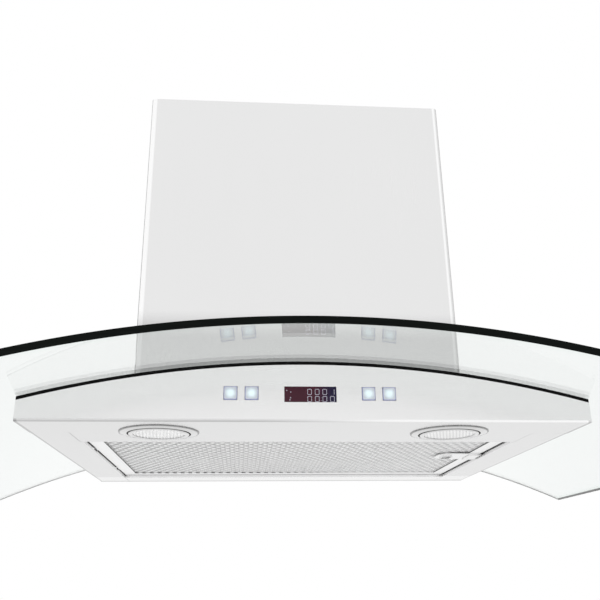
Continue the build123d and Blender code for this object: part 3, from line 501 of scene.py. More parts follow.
steelSettings = {
    "low": 0.808, "high": 0.832, "rough": (0.24, 0.28), "detail": 4.0,
    "across": (5, 900, 900), "acrossLift": 1.05, "upright": (900, 900, 5), "uprightLift": 1.0,
    "foot": ((-0.066, -0.036), (0.66, 1.0)),      # painted shade: the duct covers are darker close over the glass
    "bend": (0.0066, 0.0050), "bendHighlight": 0.19,   # a painted highlight lightens their front bends
    "line": 0.62,                                 # painted shade: thin dark lines where the body's sheets turn
    "sideTurn": (-0.0034, -0.0020), "rearTurn": (-0.0105, -0.0070), "frontTurn": (0.0006, 0.0024),
    "lineRise": (0.0004, 0.0030), "flatRise": (0.0002, 0.0010),
    "under": ((-0.052, -0.044), (0.885, 1.04)),   # painted shade and light: the underside is darker in front of the filter and lighter behind it
    # painted shade: the underside is a little darker to the left
    "underLeft": ((-0.13, -0.05), (0.975, 1.0)),
    # painted shade turning into a painted highlight along the front bottom fold, dark at the left and bright
    # at the right
    "frontLine": ((-0.06, 0.10), (0.70, 1.25)),
}


def makeBrushedSteel(name, way):
    lift = steelSettings[way + "Lift"]
    return grainFinish(name, grey(steelSettings["low"] * lift), grey(steelSettings["high"] * lift),
                       steelSettings["rough"], steelSettings[way], 1.0, steelSettings["detail"], metal=1.0)


def makeBodySteel():
    material = makeBrushedSteel("brushedSteelAcross", "across")
    tree = material.node_tree
    low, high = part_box("front_panel")
    x, y, z = placeSplit(tree)

    def stepAt(value, start, key, levels):
        return rampNode(tree, value, [start + step for step in steelSettings[key]], levels)

    # painted shade: thin dark lines along the side, rear and bottom bends
    line, falling = (1.0, steelSettings["line"]), (1.0, 0.0)
    side = stepAt(mathNode(tree, "ABSOLUTE", x), high[0], "sideTurn", line)
    rear = stepAt(y, 0.0, "rearTurn", line)
    bottom = stepAt(z, low[2], "lineRise", falling)
    flat = stepAt(z, low[2], "flatRise", falling)
    fold = timesAll(tree, bottom, stepAt(y, low[1], "frontTurn", falling))
    # painted shade and light on the underside
    level = timesAll(tree, rampNode(tree, y, *steelSettings["under"]),
                     rampNode(tree, x, *steelSettings["underLeft"]))
    under = restOf(tree, timesAll(tree, flat, restOf(tree, level)))
    loss = restOf(tree, mathNode(tree, "MINIMUM", side, rear))
    lines = restOf(tree, timesAll(tree, loss, bottom))
    # painted shade and painted highlight along the front fold
    tone = mathNode(tree, "SUBTRACT", rampNode(tree, x, *steelSettings["frontLine"]), 1.0)
    front = mathNode(tree, "ADD", 1.0, timesAll(tree, fold, tone))
    shadeBy(material, timesAll(tree, lines, under, front))
    return material


def makeCoverSteel():
    material = makeBrushedSteel("brushedSteelUpright", "upright")
    tree = material.node_tree
    low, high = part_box("lower_duct_cover")
    inner, outer = steelSettings["bend"]
    x, y, z = placeSplit(tree)
    # painted highlight: the front bends are lightened
    across = rampNode(tree, mathNode(tree, "ABSOLUTE", x), (high[0] - inner, high[0] - outer), (0.0, 1.0))
    front = rampNode(tree, y, (low[1] + outer, low[1] + inner), (1.0, 0.0))
    bend = mathNode(tree, "ADD", 1.0, timesAll(tree, across, front, steelSettings["bendHighlight"]))
    # painted shade: darker towards the foot, close over the glass
    shadeBy(material, timesAll(tree, rampNode(tree, z, *steelSettings["foot"]), bend))
    return material


flakeSettings = {"scale": 110.0, "levels": (0.78, 1.1)}


def makeZincSheet():
    material = grainFinish("galvanisedSheet", grey(0.42), grey(0.62), (0.32, 0.52), scale=40.0, metal=0.9)
    tree = material.node_tree
    place = tree.nodes.new("ShaderNodeTexCoord")
    cells = tree.nodes.new("ShaderNodeTexVoronoi")
    setPlain(cells.inputs, {"Scale": flakeSettings["scale"]})
    tone = tree.nodes.new("ShaderNodeSeparateColor")
    feed(tree, place.outputs["Object"], cells.inputs["Vector"])
    feed(tree, cells.outputs["Color"], tone.inputs["Color"])
    shadeBy(material, rampNode(tree, tone.outputs["Red"], (0.0, 1.0), flakeSettings["levels"], "LINEAR"))
    return material


glassSettings = {
    "tint": (0.92, 0.945, 0.935, 1.0), "rimTint": (0.86, 0.92, 0.895, 1.0), "rim": 0.012, "index": 1.5,
    "edgeLow": (0.001, 0.0015, 0.0012, 1.0), "edgeHigh": (0.005, 0.007, 0.006, 1.0), "edgeSheen": 0.05,
}


def makeClearGlass():
    material, tree, shader = newMaterial("clearGlass")
    setPlain(shader, {"Roughness": 0.0, "IOR": glassSettings["index"], "Transmission Weight": 1.0})
    low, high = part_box("glass_canopy")
    x, y, z = placeSplit(tree)
    rim = glassSettings["rim"]
    side = rampNode(tree, mathNode(tree, "ABSOLUTE", x), (high[0] - rim, high[0]), (0.0, 1.0))
    front = rampNode(tree, y, (low[1], low[1] + rim), (1.0, 0.0))
    nearRim = mathNode(tree, "MAXIMUM", side, front)
    feed(tree, mixNode(tree, nearRim, glassSettings["tint"], glassSettings["rimTint"]), shader["Base Color"])
    return material


def makeGlassEdge():
    # painted shade: the pane's edge faces are near black, for the dark band a glass edge shows end-on
    material = grainFinish("glassEdgeShade", glassSettings["edgeLow"], glassSettings["edgeHigh"],
                           (0.25, 0.45), (2, 2, 60), 12.0)
    setPlain(shaderOf(material), {"Specular IOR Level": glassSettings["edgeSheen"]})
    return material


def makeRubber():
    material = grainFinish("blackRubber", grey(0.002), grey(0.006), (0.6, 0.8), scale=260.0, bump=0.00004)
    setPlain(shaderOf(material), {"Specular IOR Level": 0.1})
    return material


def fadePaintedShade(material, tone, x, fade):  # painted shade: the tone's dark marks, fading along x
    tree = material.node_tree
    depth = timesAll(tree, restOf(tree, tone), rampNode(tree, x, *fade))
    shadeBy(material, restOf(tree, depth))


def waveNode(tree, operation, value, pitch):
    return mathNode(tree, operation, timesAll(tree, value, 2 * pi / pitch))


netShadeWaves = {"across": 0.0095, "along": 0.0170, "span": (-0.8, 0.2), "levels": (0.46, 1.0),
            "fade": ((-0.16, 0.18), (1.0, 0.65))}


def makeNetMetal():  # painted shade: the net's tone comes and goes in diamonds, standing in for the shading of layers crimped both ways
    material = grainFinish("netAluminium", grey(0.92), grey(0.98), (0.3, 0.42), scale=150.0, metal=0.5)
    tree = material.node_tree
    x, y, z = placeSplit(tree)
    waves = timesAll(tree, waveNode(tree, "COSINE", x, netShadeWaves["across"]),
                     waveNode(tree, "COSINE", y, netShadeWaves["along"]))
    fadePaintedShade(material, rampNode(tree, waves, netShadeWaves["span"], netShadeWaves["levels"]), x, netShadeWaves["fade"])
    return material


dashSettings = {"pitch": 0.0095, "span": (-0.5, 0.5), "levels": (1.0, 0.22),
                "fade": ((-0.05, 0.08), (1.0, 0.08))}


def makeWallShadeDashes():  # painted shade: the net's cut ends stand before the rear rail's wall, and dashes of shade darken it
    material = grainFinish("wallShadeDashes", grey(0.85), grey(0.95), (0.3, 0.45), scale=150.0, metal=0.6)
    tree = material.node_tree
    x, y, z = placeSplit(tree)
    wave = waveNode(tree, "SINE", x, dashSettings["pitch"])
    dashes = rampNode(tree, wave, dashSettings["span"], dashSettings["levels"])
    fadePaintedShade(material, dashes, x, dashSettings["fade"])
    return material


grooveFade = ((0.0200, 0.0255), (1.0, 0.08))


def makeGrooveShade():  # painted shade: the lamp rings' groove is dark, and darkest at its two ends
    material = grainFinish("grooveShade", grey(0.20), grey(0.30), (0.5, 0.7), scale=200.0)
    tree = material.node_tree
    low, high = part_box("right_lamp_bezel")
    x, y, z = placeSplit(tree)
    aside = mathNode(tree, "SUBTRACT", mathNode(tree, "ABSOLUTE", x), (low[0] + high[0]) / 2)
    shadeBy(material, rampNode(tree, mathNode(tree, "ABSOLUTE", aside), *grooveFade))
    return material


lensLightAndShade = {"pitch": 0.0030, "span": (-0.4, 0.9), "levels": (1.0, 0.80),
             "turns": ((-0.01, 0.01), (-0.11, 0.28)),   # the pressed ribs, turned as each lens is fitted
             "clear": 0.2, "glow": 0.08}


def makeLampGlass():
    material = grainFinish("pressedLampGlass", grey(0.82), grey(0.95), (0.12, 0.3), scale=400.0, bump=0.00005)
    tree = material.node_tree
    x, y, z = placeSplit(tree)
    # painted shade: dark lines across the lens, for the shading of its pressed ribs
    turn = rampNode(tree, x, *lensLightAndShade["turns"])
    along = mathNode(tree, "SUBTRACT", x, timesAll(tree, y, turn))
    wave = waveNode(tree, "SINE", along, lensLightAndShade["pitch"])
    shadeBy(material, rampNode(tree, wave, lensLightAndShade["span"], lensLightAndShade["levels"]))
    # painted light: a faint white glow lightens the lens
    setPlain(shaderOf(material), {"Transmission Weight": lensLightAndShade["clear"], "Emission Color": (1, 1, 1, 1),
                                  "Emission Strength": lensLightAndShade["glow"]})
    return material


displaySettings = {
    "plum": (0.070, 0.014, 0.028, 1.0), "navy": (0.016, 0.012, 0.050, 1.0), "turn": (0.004, 0.018),
    "segmentLow": (0.50, 0.49, 0.58, 1.0), "segmentHigh": (0.60, 0.59, 0.68, 1.0), "glow": 0.25,
}


def makeDisplayGlass():
    material, tree, shader = newMaterial("displayGlass")
    setPlain(shader, {"Roughness": 0.12, "Specular IOR Level": 0.2})
    x, y, z = placeSplit(tree)
    turn = rampNode(tree, x, displaySettings["turn"], (0.0, 1.0), "LINEAR")
    feed(tree, mixNode(tree, turn, displaySettings["plum"], displaySettings["navy"]), shader["Base Color"])
    return material


def makeLitSegments():
    high = displaySettings["segmentHigh"]
    material = grainFinish("litSegments", displaySettings["segmentLow"], high, (0.3, 0.4), scale=200.0)
    setPlain(shaderOf(material), {"Emission Color": high, "Emission Strength": displaySettings["glow"]})
    return material


glowSettings = {"middle": 0.0582, "apart": 0.0088, "spot": (0.0012, 0.0052), "lit": (0.80, 0.95, 1.0, 1.0),
                "plain": (0.80, 0.85, 0.92, 1.0), "strength": 0.35}


def makeButtonGlow():
    material, tree, shader = newMaterial("buttonGlow")
    setPlain(shader, {"Roughness": 0.35, "Emission Strength": glowSettings["strength"]})
    low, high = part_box("left_outer_button")
    x, y, z = placeSplit(tree)
    fromPair = mathNode(tree, "SUBTRACT", mathNode(tree, "ABSOLUTE", x), glowSettings["middle"])
    across = mathNode(tree, "SUBTRACT", mathNode(tree, "ABSOLUTE", fromPair), glowSettings["apart"])
    rise = mathNode(tree, "SUBTRACT", z, (low[2] + high[2]) / 2)
    squares = mathNode(tree, "ADD", timesAll(tree, across, across), timesAll(tree, rise, rise))
    fade = rampNode(tree, mathNode(tree, "SQRT", squares), glowSettings["spot"], (0.0, 1.0))
    for key, rim in (("Base Color", glowSettings["plain"]), ("Emission Color", (0, 0, 0, 1))):
        feed(tree, mixNode(tree, fade, glowSettings["lit"], rim), shader[key])
    return material


steelAcross = makeBodySteel()
steelUpright = makeCoverSteel()
clearGlass = makeClearGlass()
glassEdge = makeGlassEdge()
litSegments = makeLitSegments()
buttonGlow = makeButtonGlow()
netAluminium = makeNetMetal()
# painted shade: dark finishes for the filter rails' inner walls and for the lamp rings' groove and outer rim
wallShade = grainFinish("wallShade", grey(0.10), grey(0.18), (0.4, 0.6), scale=150.0, metal=0.6)
wallShadeDashes = makeWallShadeDashes()
rimShade = grainFinish("rimShade", grey(0.22), grey(0.34), (0.2, 0.35), scale=200.0, metal=0.8)
grooveShade = makeGrooveShade()
finishes = {
    "glass": clearGlass,
    "rubber": makeRubber(),
    "stainless": steelAcross,
    "galvanised": makeZincSheet(),
    "fixings": grainFinish("zincFixings", grey(0.55), grey(0.72), (0.22, 0.4), scale=180.0, metal=1.0),
    "fan_plastic": grainFinish("fanPlastic", grey(0.03), grey(0.055), (0.35, 0.5), scale=350.0, bump=0.00003),
    "motor_steel": grainFinish("motorSteel", grey(0.32), grey(0.46), (0.3, 0.5), scale=90.0, metal=0.9),
    "copper": grainFinish("copperWinding", (0.62, 0.27, 0.12, 1), (0.8, 0.40, 0.2, 1), (0.25, 0.4),
                          (900, 60, 60), 1.0, metal=1.0),
    "white_plastic": grainFinish("whitePlastic", grey(0.66), grey(0.75), (0.4, 0.55), scale=320.0,
                                 bump=0.00002),
    "black_plastic": grainFinish("blackPlastic", grey(0.012), grey(0.026), (0.35, 0.55), scale=320.0,
                                 bump=0.00003),
    "capacitor_shell": grainFinish("castShell", grey(0.5), grey(0.62), (0.35, 0.5), scale=160.0, metal=0.6),
    "board": grainFinish("circuitBoard", (0.008, 0.07, 0.03, 1), (0.014, 0.11, 0.05, 1), (0.3, 0.45),
                         scale=220.0),
    "lamp_board": grainFinish("lampBoard", grey(0.7), grey(0.8), (0.35, 0.5), scale=220.0),
    "display": makeDisplayGlass(),
    "button": grainFinish("buttonFrame", (0.42, 0.46, 0.76, 1), (0.50, 0.54, 0.84, 1), (0.25, 0.35),
                          scale=300.0),
    "lamp_trim": grainFinish("lampTrim", grey(0.62), grey(0.74), (0.14, 0.24), (300, 300, 300), 1.0,
                             metal=1.0),
    "lamp_glass": makeLampGlass(),
    "filter_aluminium": grainFinish("filterAluminium", grey(0.90), grey(0.97), (0.25, 0.38), scale=150.0,
                                    metal=1.0),
    "spring_steel": grainFinish("springSteel", grey(0.45), grey(0.6), (0.22, 0.35), scale=150.0, metal=1.0),
}


def dressNodes():
    for name, node in nodes.items():
        node.material_slots[0].material = finishes[slotOf[name]]
    for name in ("lower_duct_cover", "upper_duct_cover"):
        nodes[name].material_slots[0].material = steelUpright


dressNodes()
print("finishes made:", len(bpy.data.materials))


# Glass canopy: a section spun about the arch's axis, cut to its outline

paneSettings = {
    "thickness": 0.006, "steps": 110, "spare": 1.05, "cornerRound": 0.012, "cornerSteps": 10,
    "cutSpare": 0.1, "edgeRound": 0.0007, "edgeSteps": 2, "edgeSlope": 0.55, "notchGap": 0.003,
    "holeRadius": 0.004, "holeSteps": 40, "holeDepth": 0.06, "holeX": 0.1903, "holeY": (-0.340, -0.070),
}


def makePaneOutline(low, high):
    spare = paneSettings["cutSpare"]
    outline = addBlock((low[0], low[1], low[2] - spare), (high[0], high[1], high[2] + spare))
    pickEdges(outline, lambda a, b: abs(a.x - b.x) + abs(a.y - b.y) < 1e-6 and a.y < low[1] + 0.01)
    bpy.ops.mesh.bevel(offset=paneSettings["cornerRound"], segments=paneSettings["cornerSteps"],
                       affect="EDGES")
    clearSelection()
    gap = paneSettings["notchGap"]
    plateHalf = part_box("wall_plate")[1][0]
    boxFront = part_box("blower_box")[0][1]
    notch = addBlock((-plateHalf - gap, boxFront - gap, low[2] - 2 * spare),
                     (plateHalf + gap, spare, high[2] + 2 * spare))
    cutAway(outline, notch)
    return outline


def archOfGlass():  # the top of the arch and its radius, at the glass's lower face
    low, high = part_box("glass_canopy")
    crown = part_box("glass_gasket")[1][2]
    sag = crown - low[2]
    return crown, (high[0] * high[0] + sag * sag) / (2 * sag)


def screwPlaces(radius):  # the four screws through the glass, with their tilt about Y
    return [(x, y, asin(x / radius)) for x in (-paneSettings["holeX"], paneSettings["holeX"])
            for y in paneSettings["holeY"]]


def makeCanopyGlass():
    low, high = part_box("glass_canopy")
    crown, radius = archOfGlass()
    thickness = paneSettings["thickness"]
    clearSelection()
    bpy.ops.mesh.primitive_plane_add(size=1, rotation=(0, pi / 2, 0),
                                     location=(0, (low[1] + high[1]) / 2, crown + thickness / 2))
    pane = bpy.context.object
    pane.scale = (thickness, (high[1] - low[1]) * paneSettings["spare"], 1)
    freeze()
    pickAll(pane)
    bpy.ops.mesh.spin(steps=paneSettings["steps"], angle=asin(high[0] * paneSettings["spare"] / radius),
                      center=(0, 0, crown - radius), axis=(0, 1, 0))
    if pickFaces(pane, lambda middle, normal: abs(middle.x) < 1e-6):
        bpy.ops.mesh.delete(type="FACE")
    useModifier(pane, "MIRROR", use_axis=(True, False, False), use_clip=True, merge_threshold=1e-5)
    closeUp(pane)
    cutAway(pane, makePaneOutline(low, high), "INTERSECT")
    for x, y, tilt in screwPlaces(radius):
        clearSelection()
        bpy.ops.mesh.primitive_cylinder_add(vertices=paneSettings["holeSteps"],
                                            radius=paneSettings["holeRadius"],
                                            depth=paneSettings["holeDepth"], rotation=(0, tilt, 0),
                                            location=(x, y, crown - x * x / (2 * radius)))
        cutAway(pane, bpy.context.object)
    roundEdges(pane, paneSettings["edgeRound"], paneSettings["edgeSteps"], 50)
    closeUp(pane)
    smoothShade(pane)
    dress(pane, clearGlass, glassEdge)
    # the edge faces get the painted shade
    giveFaces(pane, 1, lambda middle, normal: abs(normal.z) < paneSettings["edgeSlope"])
    settle(pane, "canopyGlass", "hood", "glass", "glass_canopy")


makeCanopyGlass()
print("glass canopy made")


# Steel sheets: the same shapes with their sharp edges broken

sheetSettings = {
    "front_panel": (0.0004, steelAcross), "left_side_panel": (0.0004, steelAcross),
    "right_side_panel": (0.0004, steelAcross), "back_panel": (0.0004, steelAcross),
    "lower_duct_cover": (0.0003, steelUpright), "upper_duct_cover": (0.0003, steelUpright),
    "filter_frame": (0.0003, finishes["filter_aluminium"]), "latch_guide": (0.0002, steelAcross),
    "latch_plate": (0.0003, steelAcross), "top_deck": (0.0003, steelAcross),
    "wall_plate": (0.0003, finishes["galvanised"]), "blower_box": (0.0003, finishes["galvanised"]),
    "upper_cover_bracket": (0.0003, finishes["galvanised"]),
    "outlet_collar": (0.0005, finishes["black_plastic"]),
    "front_flap": (0.0004, finishes["black_plastic"]), "rear_flap": (0.0004, finishes["black_plastic"]),
    "power_box": (0.0005, finishes["white_plastic"]), "power_box_lid": (0.0005, finishes["white_plastic"]),
    "glass_gasket": (0.0003, finishes["rubber"]),
}
frameSettings = {
    "rail": 0.013, "near": 4e-4, "lipNear": 2e-4,
    "lipGrowth": 0.0009,   # at 1.0 mm the lip would meet the side panel in the swing
}


def widenLip(sheet):  # the rail at the hinges reaches closer to the body, between the hinge tabs
    left = -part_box("filter_frame")[1][0]
    near = frameSettings["lipNear"]
    pickFaces(sheet, lambda middle, normal: normal.x < -0.99 and abs(middle.x - left) < near)
    bpy.ops.transform.translate(value=(-frameSettings["lipGrowth"], 0, 0))
    clearSelection()


def shadeWalls(sheet):  # painted shade: the rails' inner walls face each other across the dark net and are coloured dark
    sheet.data.materials.append(wallShade)
    sheet.data.materials.append(wallShadeDashes)
    rail, near = frameSettings["rail"], frameSettings["near"]
    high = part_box("filter_frame")[1] - Vector((rail, rail, 0))
    giveFaces(sheet, 1, lambda middle, normal: abs(normal.x) > 0.9 and abs(abs(middle.x) - high[0]) < near)
    giveFaces(sheet, 2, lambda middle, normal: normal.y < -0.9 and abs(middle.y - high[1]) < near)


def makeSheets():
    for name, (edge, material) in sheetSettings.items():
        isFrame = name == "filter_frame"
        sheet = trimNode(name, edge, 2, material, widenLip if isFrame else None)
        if isFrame:
            shadeWalls(sheet)
        settleFor(sheet, name)


makeSheets()
print("steel sheets made:", len(sheetSettings))


# Latch spring: a bent leaf that the latch plate presses flat against its post

springSettings = {"edge": 0.0001, "shut": 0.284}


def makeLatchSpring():
    spring = trimNode("latch_spring", springSettings["edge"], 1, finishes["spring_steel"])
    settleFor(spring, "latch_spring")
    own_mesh(spring)


makeLatchSpring()
print("latch spring made")


# Screws: each head that can be seen gets a cross recess

recessSettings = {
    # node: reach, half width and depth of the cross
    "glass_screws": (0.0032, 0.0011, 0.0011), "lid_screws": (0.0019, 0.0006, 0.0009),
    "cover_screws": (0.0018, 0.0006, 0.0010),
    "glassHeadTop": 0.0084,   # over the glass's lower face
    "overlap": 1.1, "edge": 0.00015,
}


def cutCross(screw, node, top, tilt):  # tilt is the turn about Y from upright
    reach, slot, depth = recessSettings[node]
    deeper = depth * recessSettings["overlap"]
    cutter = addBlock((-reach, -slot, -depth), (reach, slot, depth))
    cutAway(cutter, addBlock((-slot, -reach, -deeper), (slot, reach, deeper)), "UNION")
    cutter.matrix_world = Matrix.Translation(top) @ Matrix.Rotation(tilt, 4, "Y")
    cutAway(screw, cutter)


def finishScrews(screws, node):
    roundEdges(screws, recessSettings["edge"], 1, 45)
    smoothShade(screws, 35)
    dress(screws, finishes["fixings"])
    settleFor(screws, node)


def makeGlassScrews():
    screws = copyNode("glass_screws")
    crown, radius = archOfGlass()
    for x, y, tilt in screwPlaces(radius):
        up = Vector((sin(tilt), 0, cos(tilt)))
        top = Vector((0, y, crown - radius)) + up * (radius + recessSettings["glassHeadTop"])
        cutCross(screws, "glass_screws", top, tilt)
    finishScrews(screws, "glass_screws")


def makeSideScrews(node):  # screws whose heads face the sides
    pickAll(copyNode(node))
    bpy.ops.mesh.separate(type="LOOSE")
    bpy.ops.object.mode_set(mode="OBJECT")
    screws = list(bpy.context.selected_objects)
    for screw in screws:
        corners = [Vector(corner) for corner in screw.bound_box]
        top = sum(corners, Vector()) / len(corners)
        side = 1 if top.x > 0 else -1
        top.x = max(corner.x * side for corner in corners) * side
        cutCross(screw, node, top, side * pi / 2)
    finishScrews(joinPieces(screws), node)


makeGlassScrews()
makeSideScrews("lid_screws")
makeSideScrews("cover_screws")
print("screws made")


# Grease filter mesh: long strands in two directions, clipped to the frame

meshSettings = {
    # name, node, pitch across and along, width and thickness of a strand, and the layers as rise and shift
    "nets": (
        ("greaseMesh", "filter_mesh", 0.0095, 0.0051, 0.0020, 0.0004, ((-0.0003, 0.0), (0.0004, 0.0047))),
        ("backingMesh", "filter_backing", 0.0060, 0.0160, 0.0022, 0.0005, ((0.0, 0.0),)),
    ),
    "lean": 4.0,     # the strands lean over, as in slit and stretched sheet
    "spare": 1.02,
}


def makeStrands(low, high, across, along, width, thickness, side, rise, shift):
    slope = Vector((across, along, 0)).normalized()
    run = (high[1] - low[1]) / slope.y
    reach = run * slope.x
    start = low[0] - reach + shift
    clearSelection()
    bpy.ops.mesh.primitive_cube_add(size=1)
    strand = bpy.context.object
    strand.scale = (run * meshSettings["spare"], width, thickness)
    freeze()
    lean = Matrix.Rotation(radians(meshSettings["lean"]), 4, "X")
    turn = Matrix.Rotation(asin(slope.y) * side, 4, "Z") @ lean
    strand.matrix_world = Matrix.Translation(
        (start + reach / 2, (low[1] + high[1]) / 2, (low[2] + high[2]) / 2 + rise)) @ turn
    freeze()
    count = ceil((high[0] - start) / across)
    useModifier(strand, "ARRAY", count=count, use_relative_offset=False, use_constant_offset=True,
                constant_offset_displace=(across, 0, 0))
    for spot, way in ((low, -1), (high, 1)):
        for axis in (0, 1):
            normal = [0, 0, 0]
            normal[axis] = way
            pickAll(strand)
            bpy.ops.mesh.bisect(plane_co=spot, plane_no=normal, use_fill=True, clear_outer=True)
    openMesh(strand, "EDGE")
    bpy.ops.mesh.select_non_manifold(extend=False, use_wire=False, use_multi_face=False,
                                     use_non_contiguous=False, use_verts=False)
    bpy.ops.mesh.fill_holes(sides=0)
    closeUp(strand, 1e-7)
    return strand


def makeFilterMesh():
    for name, node, across, along, width, thickness, layers in meshSettings["nets"]:
        low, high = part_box(node)
        net = joinPieces([makeStrands(low, high, across, along, width, thickness, side, *layer)
                          for layer in layers for side in (-1, 1)])
        dress(net, netAluminium)
        settle(net, name, "filter", "filter_aluminium", node)


makeFilterMesh()
print("filter mesh made")


# Lamps: a turned bezel and a pressed lens on each side

lampSettings = {
    "steps": 96, "lensRadius": 0.0225, "lensCells": 21, "lensBump": 0.0006,
    "lensSpare": 2.1, "lensStock": 0.01,              # the pressed block that the lens is cut from
    "play": 0.00015, "neckWall": 0.00445,             # room around the lens, and the neck that holds it
    "face": 0.004, "edge": 0.0008, "round": 0.0002,   # the ring beside the lens
    "lip": 0.0009, "lipRise": 0.0003, "shoulderRise": 0.0002, "crest": 0.0016,
    "groove": 0.0012, "grooveDepth": 0.0003,          # between the ring and the flange
    "flange": (1.9, 2.0, 1.1, 0.6),                   # how far it hangs under the body, in edges
    "flangeStep": 0.0010, "flangeRim": 0.0014, "rim": 0.0012,
}


def makeBezel():
    low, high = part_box("left_lamp_bezel")
    centre = ((low[0] + high[0]) / 2, (low[1] + high[1]) / 2)
    outer = (high[0] - low[0]) / 2
    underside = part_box("front_panel")[0][2]
    lensLow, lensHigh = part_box("left_lamp_lens")
    bore = (lensHigh[0] - lensLow[0]) / 2 + lampSettings["play"]
    neck = bore + lampSettings["neckWall"]
    inner, edge, small = (lampSettings[key] for key in ("lensRadius", "edge", "round"))
    rim = inner + lampSettings["face"]
    groove = rim + lampSettings["groove"]
    deep = underside - lampSettings["grooveDepth"]
    start = (inner, low[2] + lampSettings["lipRise"])
    drops = [underside - edge * share for share in lampSettings["flange"]]
    profile = [start, (inner + lampSettings["lip"], low[2] + lampSettings["shoulderRise"]),
               (rim - edge - lampSettings["crest"], low[2]), (rim - edge, low[2]), (rim, low[2] + edge / 2),
               (rim, deep), (groove, deep), (groove, drops[0]),
               (groove + lampSettings["flangeStep"], drops[1]),
               (outer - lampSettings["flangeRim"], drops[2]), (outer, drops[3]), (outer, underside),
               (neck, underside), (neck, high[2]), (bore, high[2]), (bore, lensLow[2]),
               (inner, lensLow[2]), start]
    bezel = turnProfile(profile, centre, lampSettings["steps"])
    roundEdges(bezel, small, 2, 28)
    smoothShade(bezel, 40)
    dress(bezel, finishes["lamp_trim"], grooveShade, rimShade)
    spot = Vector(centre)
    # painted shade: the groove between the ring and the flange
    giveFaces(bezel, 1, lambda middle, normal: rim - small < (middle.xy - spot).length < groove + small / 2
              and middle.z > low[2] + edge)
    # painted shade: the outer rim's edge is coloured dark
    giveFaces(bezel, 2, lambda middle, normal: (middle.xy - spot).length > outer - lampSettings["rim"]
              and middle.z < underside - 1e-5)
    return bezel


def makeLens():
    low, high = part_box("left_lamp_lens")
    middle = (low + high) / 2
    radius = (high[0] - low[0]) / 2
    cells, bump = lampSettings["lensCells"], lampSettings["lensBump"]
    clearSelection()
    bpy.ops.mesh.primitive_grid_add(x_subdivisions=cells, y_subdivisions=cells,
                                    size=lampSettings["lensSpare"] * radius,
                                    location=(middle[0], middle[1], low[2] + bump))
    lens = bpy.context.object
    freeze()
    pickAll(lens)
    bpy.ops.mesh.flip_normals()
    bpy.ops.mesh.poke(offset=bump)
    bpy.ops.mesh.extrude_region_move(TRANSFORM_OT_translate={"value": (0, 0, lampSettings["lensStock"])})
    closeUp(lens)
    bpy.ops.mesh.primitive_cylinder_add(vertices=lampSettings["steps"], radius=radius, depth=high[2] - low[2],
                                        location=middle)
    cutAway(lens, bpy.context.object, "INTERSECT")
    closeUp(lens)
    smoothShade(lens, 15)
    dress(lens, finishes["lamp_glass"])
    return lens


def makeLamps():
    for kind, piece in (("lamp_bezel", makeBezel()), ("lamp_lens", makeLens())):
        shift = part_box("right_" + kind)[0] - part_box("left_" + kind)[0]
        for side, lamp in (("right_", copyPiece(piece, shift)), ("left_", piece)):
            settleFor(lamp, side + kind)


makeLamps()
print("lamps made")


# Controls: the display with its lit segments, and four lit buttons

buttonSettings = {
    "size": 0.011, "corner": 0.0012, "cornerSteps": 5, "edge": 0.0004, "border": 0.94, "step": 0.97,
    "sink": 0.0001, "flange": 0.001, "flangeEdge": 0.0002,
    "nodes": ("left_outer_button", "left_inner_button", "right_inner_button", "right_outer_button"),
}


def makeButton(name):
    low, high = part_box(name)
    x, z = (low[0] + high[0]) / 2, (low[2] + high[2]) / 2
    half = buttonSettings["size"] / 2
    button = addBlock((x - half, low[1], z - half), (x + half, high[1], z + half))
    pickEdges(button, lambda a, b: abs(a.y - b.y) > 0.001)
    bpy.ops.mesh.bevel(offset=buttonSettings["corner"], segments=buttonSettings["cornerSteps"],
                       affect="EDGES")
    pickFaces(button, lambda middle, normal: normal.y < -0.99)
    front = Vector((x, low[1], z))
    # the border, then the step down to the lit face
    for grow, sink in ((buttonSettings["border"], 0), (buttonSettings["step"], buttonSettings["sink"])):
        bpy.ops.mesh.extrude_region_move(TRANSFORM_OT_translate={"value": (0, sink, 0)})
        bpy.ops.transform.resize(value=(grow, 1, grow), center_override=front)
    clearSelection()
    dress(button, finishes["button"], buttonGlow)
    giveFaces(button, 1, lambda middle, normal: normal.y < -0.99 and (middle - front).length < half / 2
              and middle.y > low[1] + 1e-5)
    roundEdges(button, buttonSettings["edge"], 2, 60)
    flange = addBlock((low[0], high[1] - buttonSettings["flange"], low[2]), (high[0], high[1], high[2]))
    roundEdges(flange, buttonSettings["flangeEdge"], 1)
    dress(flange, finishes["button"])
    button = joinPieces([button, flange])
    smoothShade(button, 35)
    return button


def makeButtons():
    first, *others = buttonSettings["nodes"]
    button = makeButton(first)
    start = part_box(first)[0]
    for name in others:
        settleFor(copyPiece(button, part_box(name)[0] - start), name)
    settleFor(button, first)


segmentSettings = {
    "rows": (("0001", 0.0021), ("00:00", -0.0040)),   # what each row shows, and how far it is over the middle
    "left": -0.0024, "height": 0.0046, "width": 0.0033, "step": 0.0064, "stroke": 0.00036, "tip": 0.42,
    "proud": 0.00004,
    "mark": 0.0009,                                   # small lamps at the left
    "marks": ((-0.0200, 0.0032), (-0.0166, 0.0018), (-0.0168, -0.0030), (-0.0174, -0.0048)),
}
litParts = {"0": "abcdef", "1": "bc"}


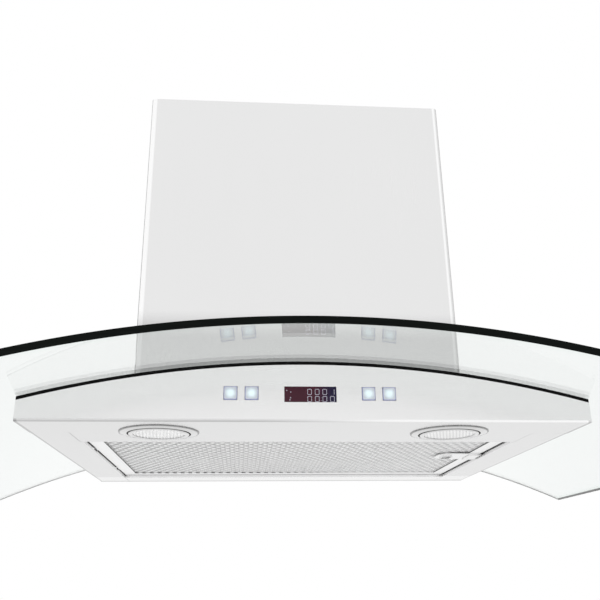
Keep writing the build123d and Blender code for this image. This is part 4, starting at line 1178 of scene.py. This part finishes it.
def segmentPlaces(width, height):  # across, rise and whether it lies flat
    side, rise = width / 2, height / 4
    return {"a": (0, height / 2, True), "b": (side, rise, False), "c": (side, -rise, False),
            "d": (0, -height / 2, True), "e": (-side, -rise, False), "f": (-side, rise, False)}


def addBar(x, z, wide, tall, front):
    proud = segmentSettings["proud"]
    bar = addBlock((x - wide / 2, front - proud, z - tall / 2), (x + wide / 2, front + proud, z + tall / 2))
    pickEdges(bar, lambda a, b: abs(a.y - b.y) > proud)
    bpy.ops.mesh.bevel(offset=min(wide, tall) * segmentSettings["tip"], segments=1, affect="EDGES")
    clearSelection()
    return bar


def makeSign(sign, front, middle):  # one digit over the middle of the display, or the two dots
    width, height, stroke = (segmentSettings[key] for key in ("width", "height", "stroke"))
    if sign == ":":
        lifts = (-height / 4, height / 4)
        return joinPieces([addBar(0, middle + lift, stroke, stroke, front) for lift in lifts])
    places = segmentPlaces(width, height)
    bars = []
    for part in litParts[sign]:
        x, rise, flat = places[part]
        size = (width - stroke, stroke) if flat else (stroke, height / 2 - stroke / 2)
        bars.append(addBar(x, middle + rise, *size, front))
    return joinPieces(bars)


def makeSegments():
    low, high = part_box("display_window")
    front, middle = low[1], (low[2] + high[2]) / 2
    width, step, size = (segmentSettings[key] for key in ("width", "step", "mark"))
    signs = {sign: makeSign(sign, front, middle) for sign in "01:"}
    mark = addBar(0, middle, size, size, front)
    pieces = []
    for text, rise in segmentSettings["rows"]:
        x = segmentSettings["left"] + width / 2
        for sign in text:
            if sign == ":":
                pieces.append(copyPiece(signs[sign], (x - step / 2, 0, rise)))
            else:
                pieces.append(copyPiece(signs[sign], (x, 0, rise)))
                x += step
    pieces += [copyPiece(mark, (x, 0, rise)) for x, rise in segmentSettings["marks"]]
    for pattern in (*signs.values(), mark):
        bpy.data.objects.remove(pattern)
    segments = joinPieces(pieces)
    dress(segments, litSegments)
    settle(segments, "displaySegments", "hood", "display")


windowEdge = 0.0002


def makeWindow():
    settleFor(trimNode("display_window", windowEdge, 2, finishes["display"]), "display_window")


makeButtons()
makeWindow()
makeSegments()
print("controls made")
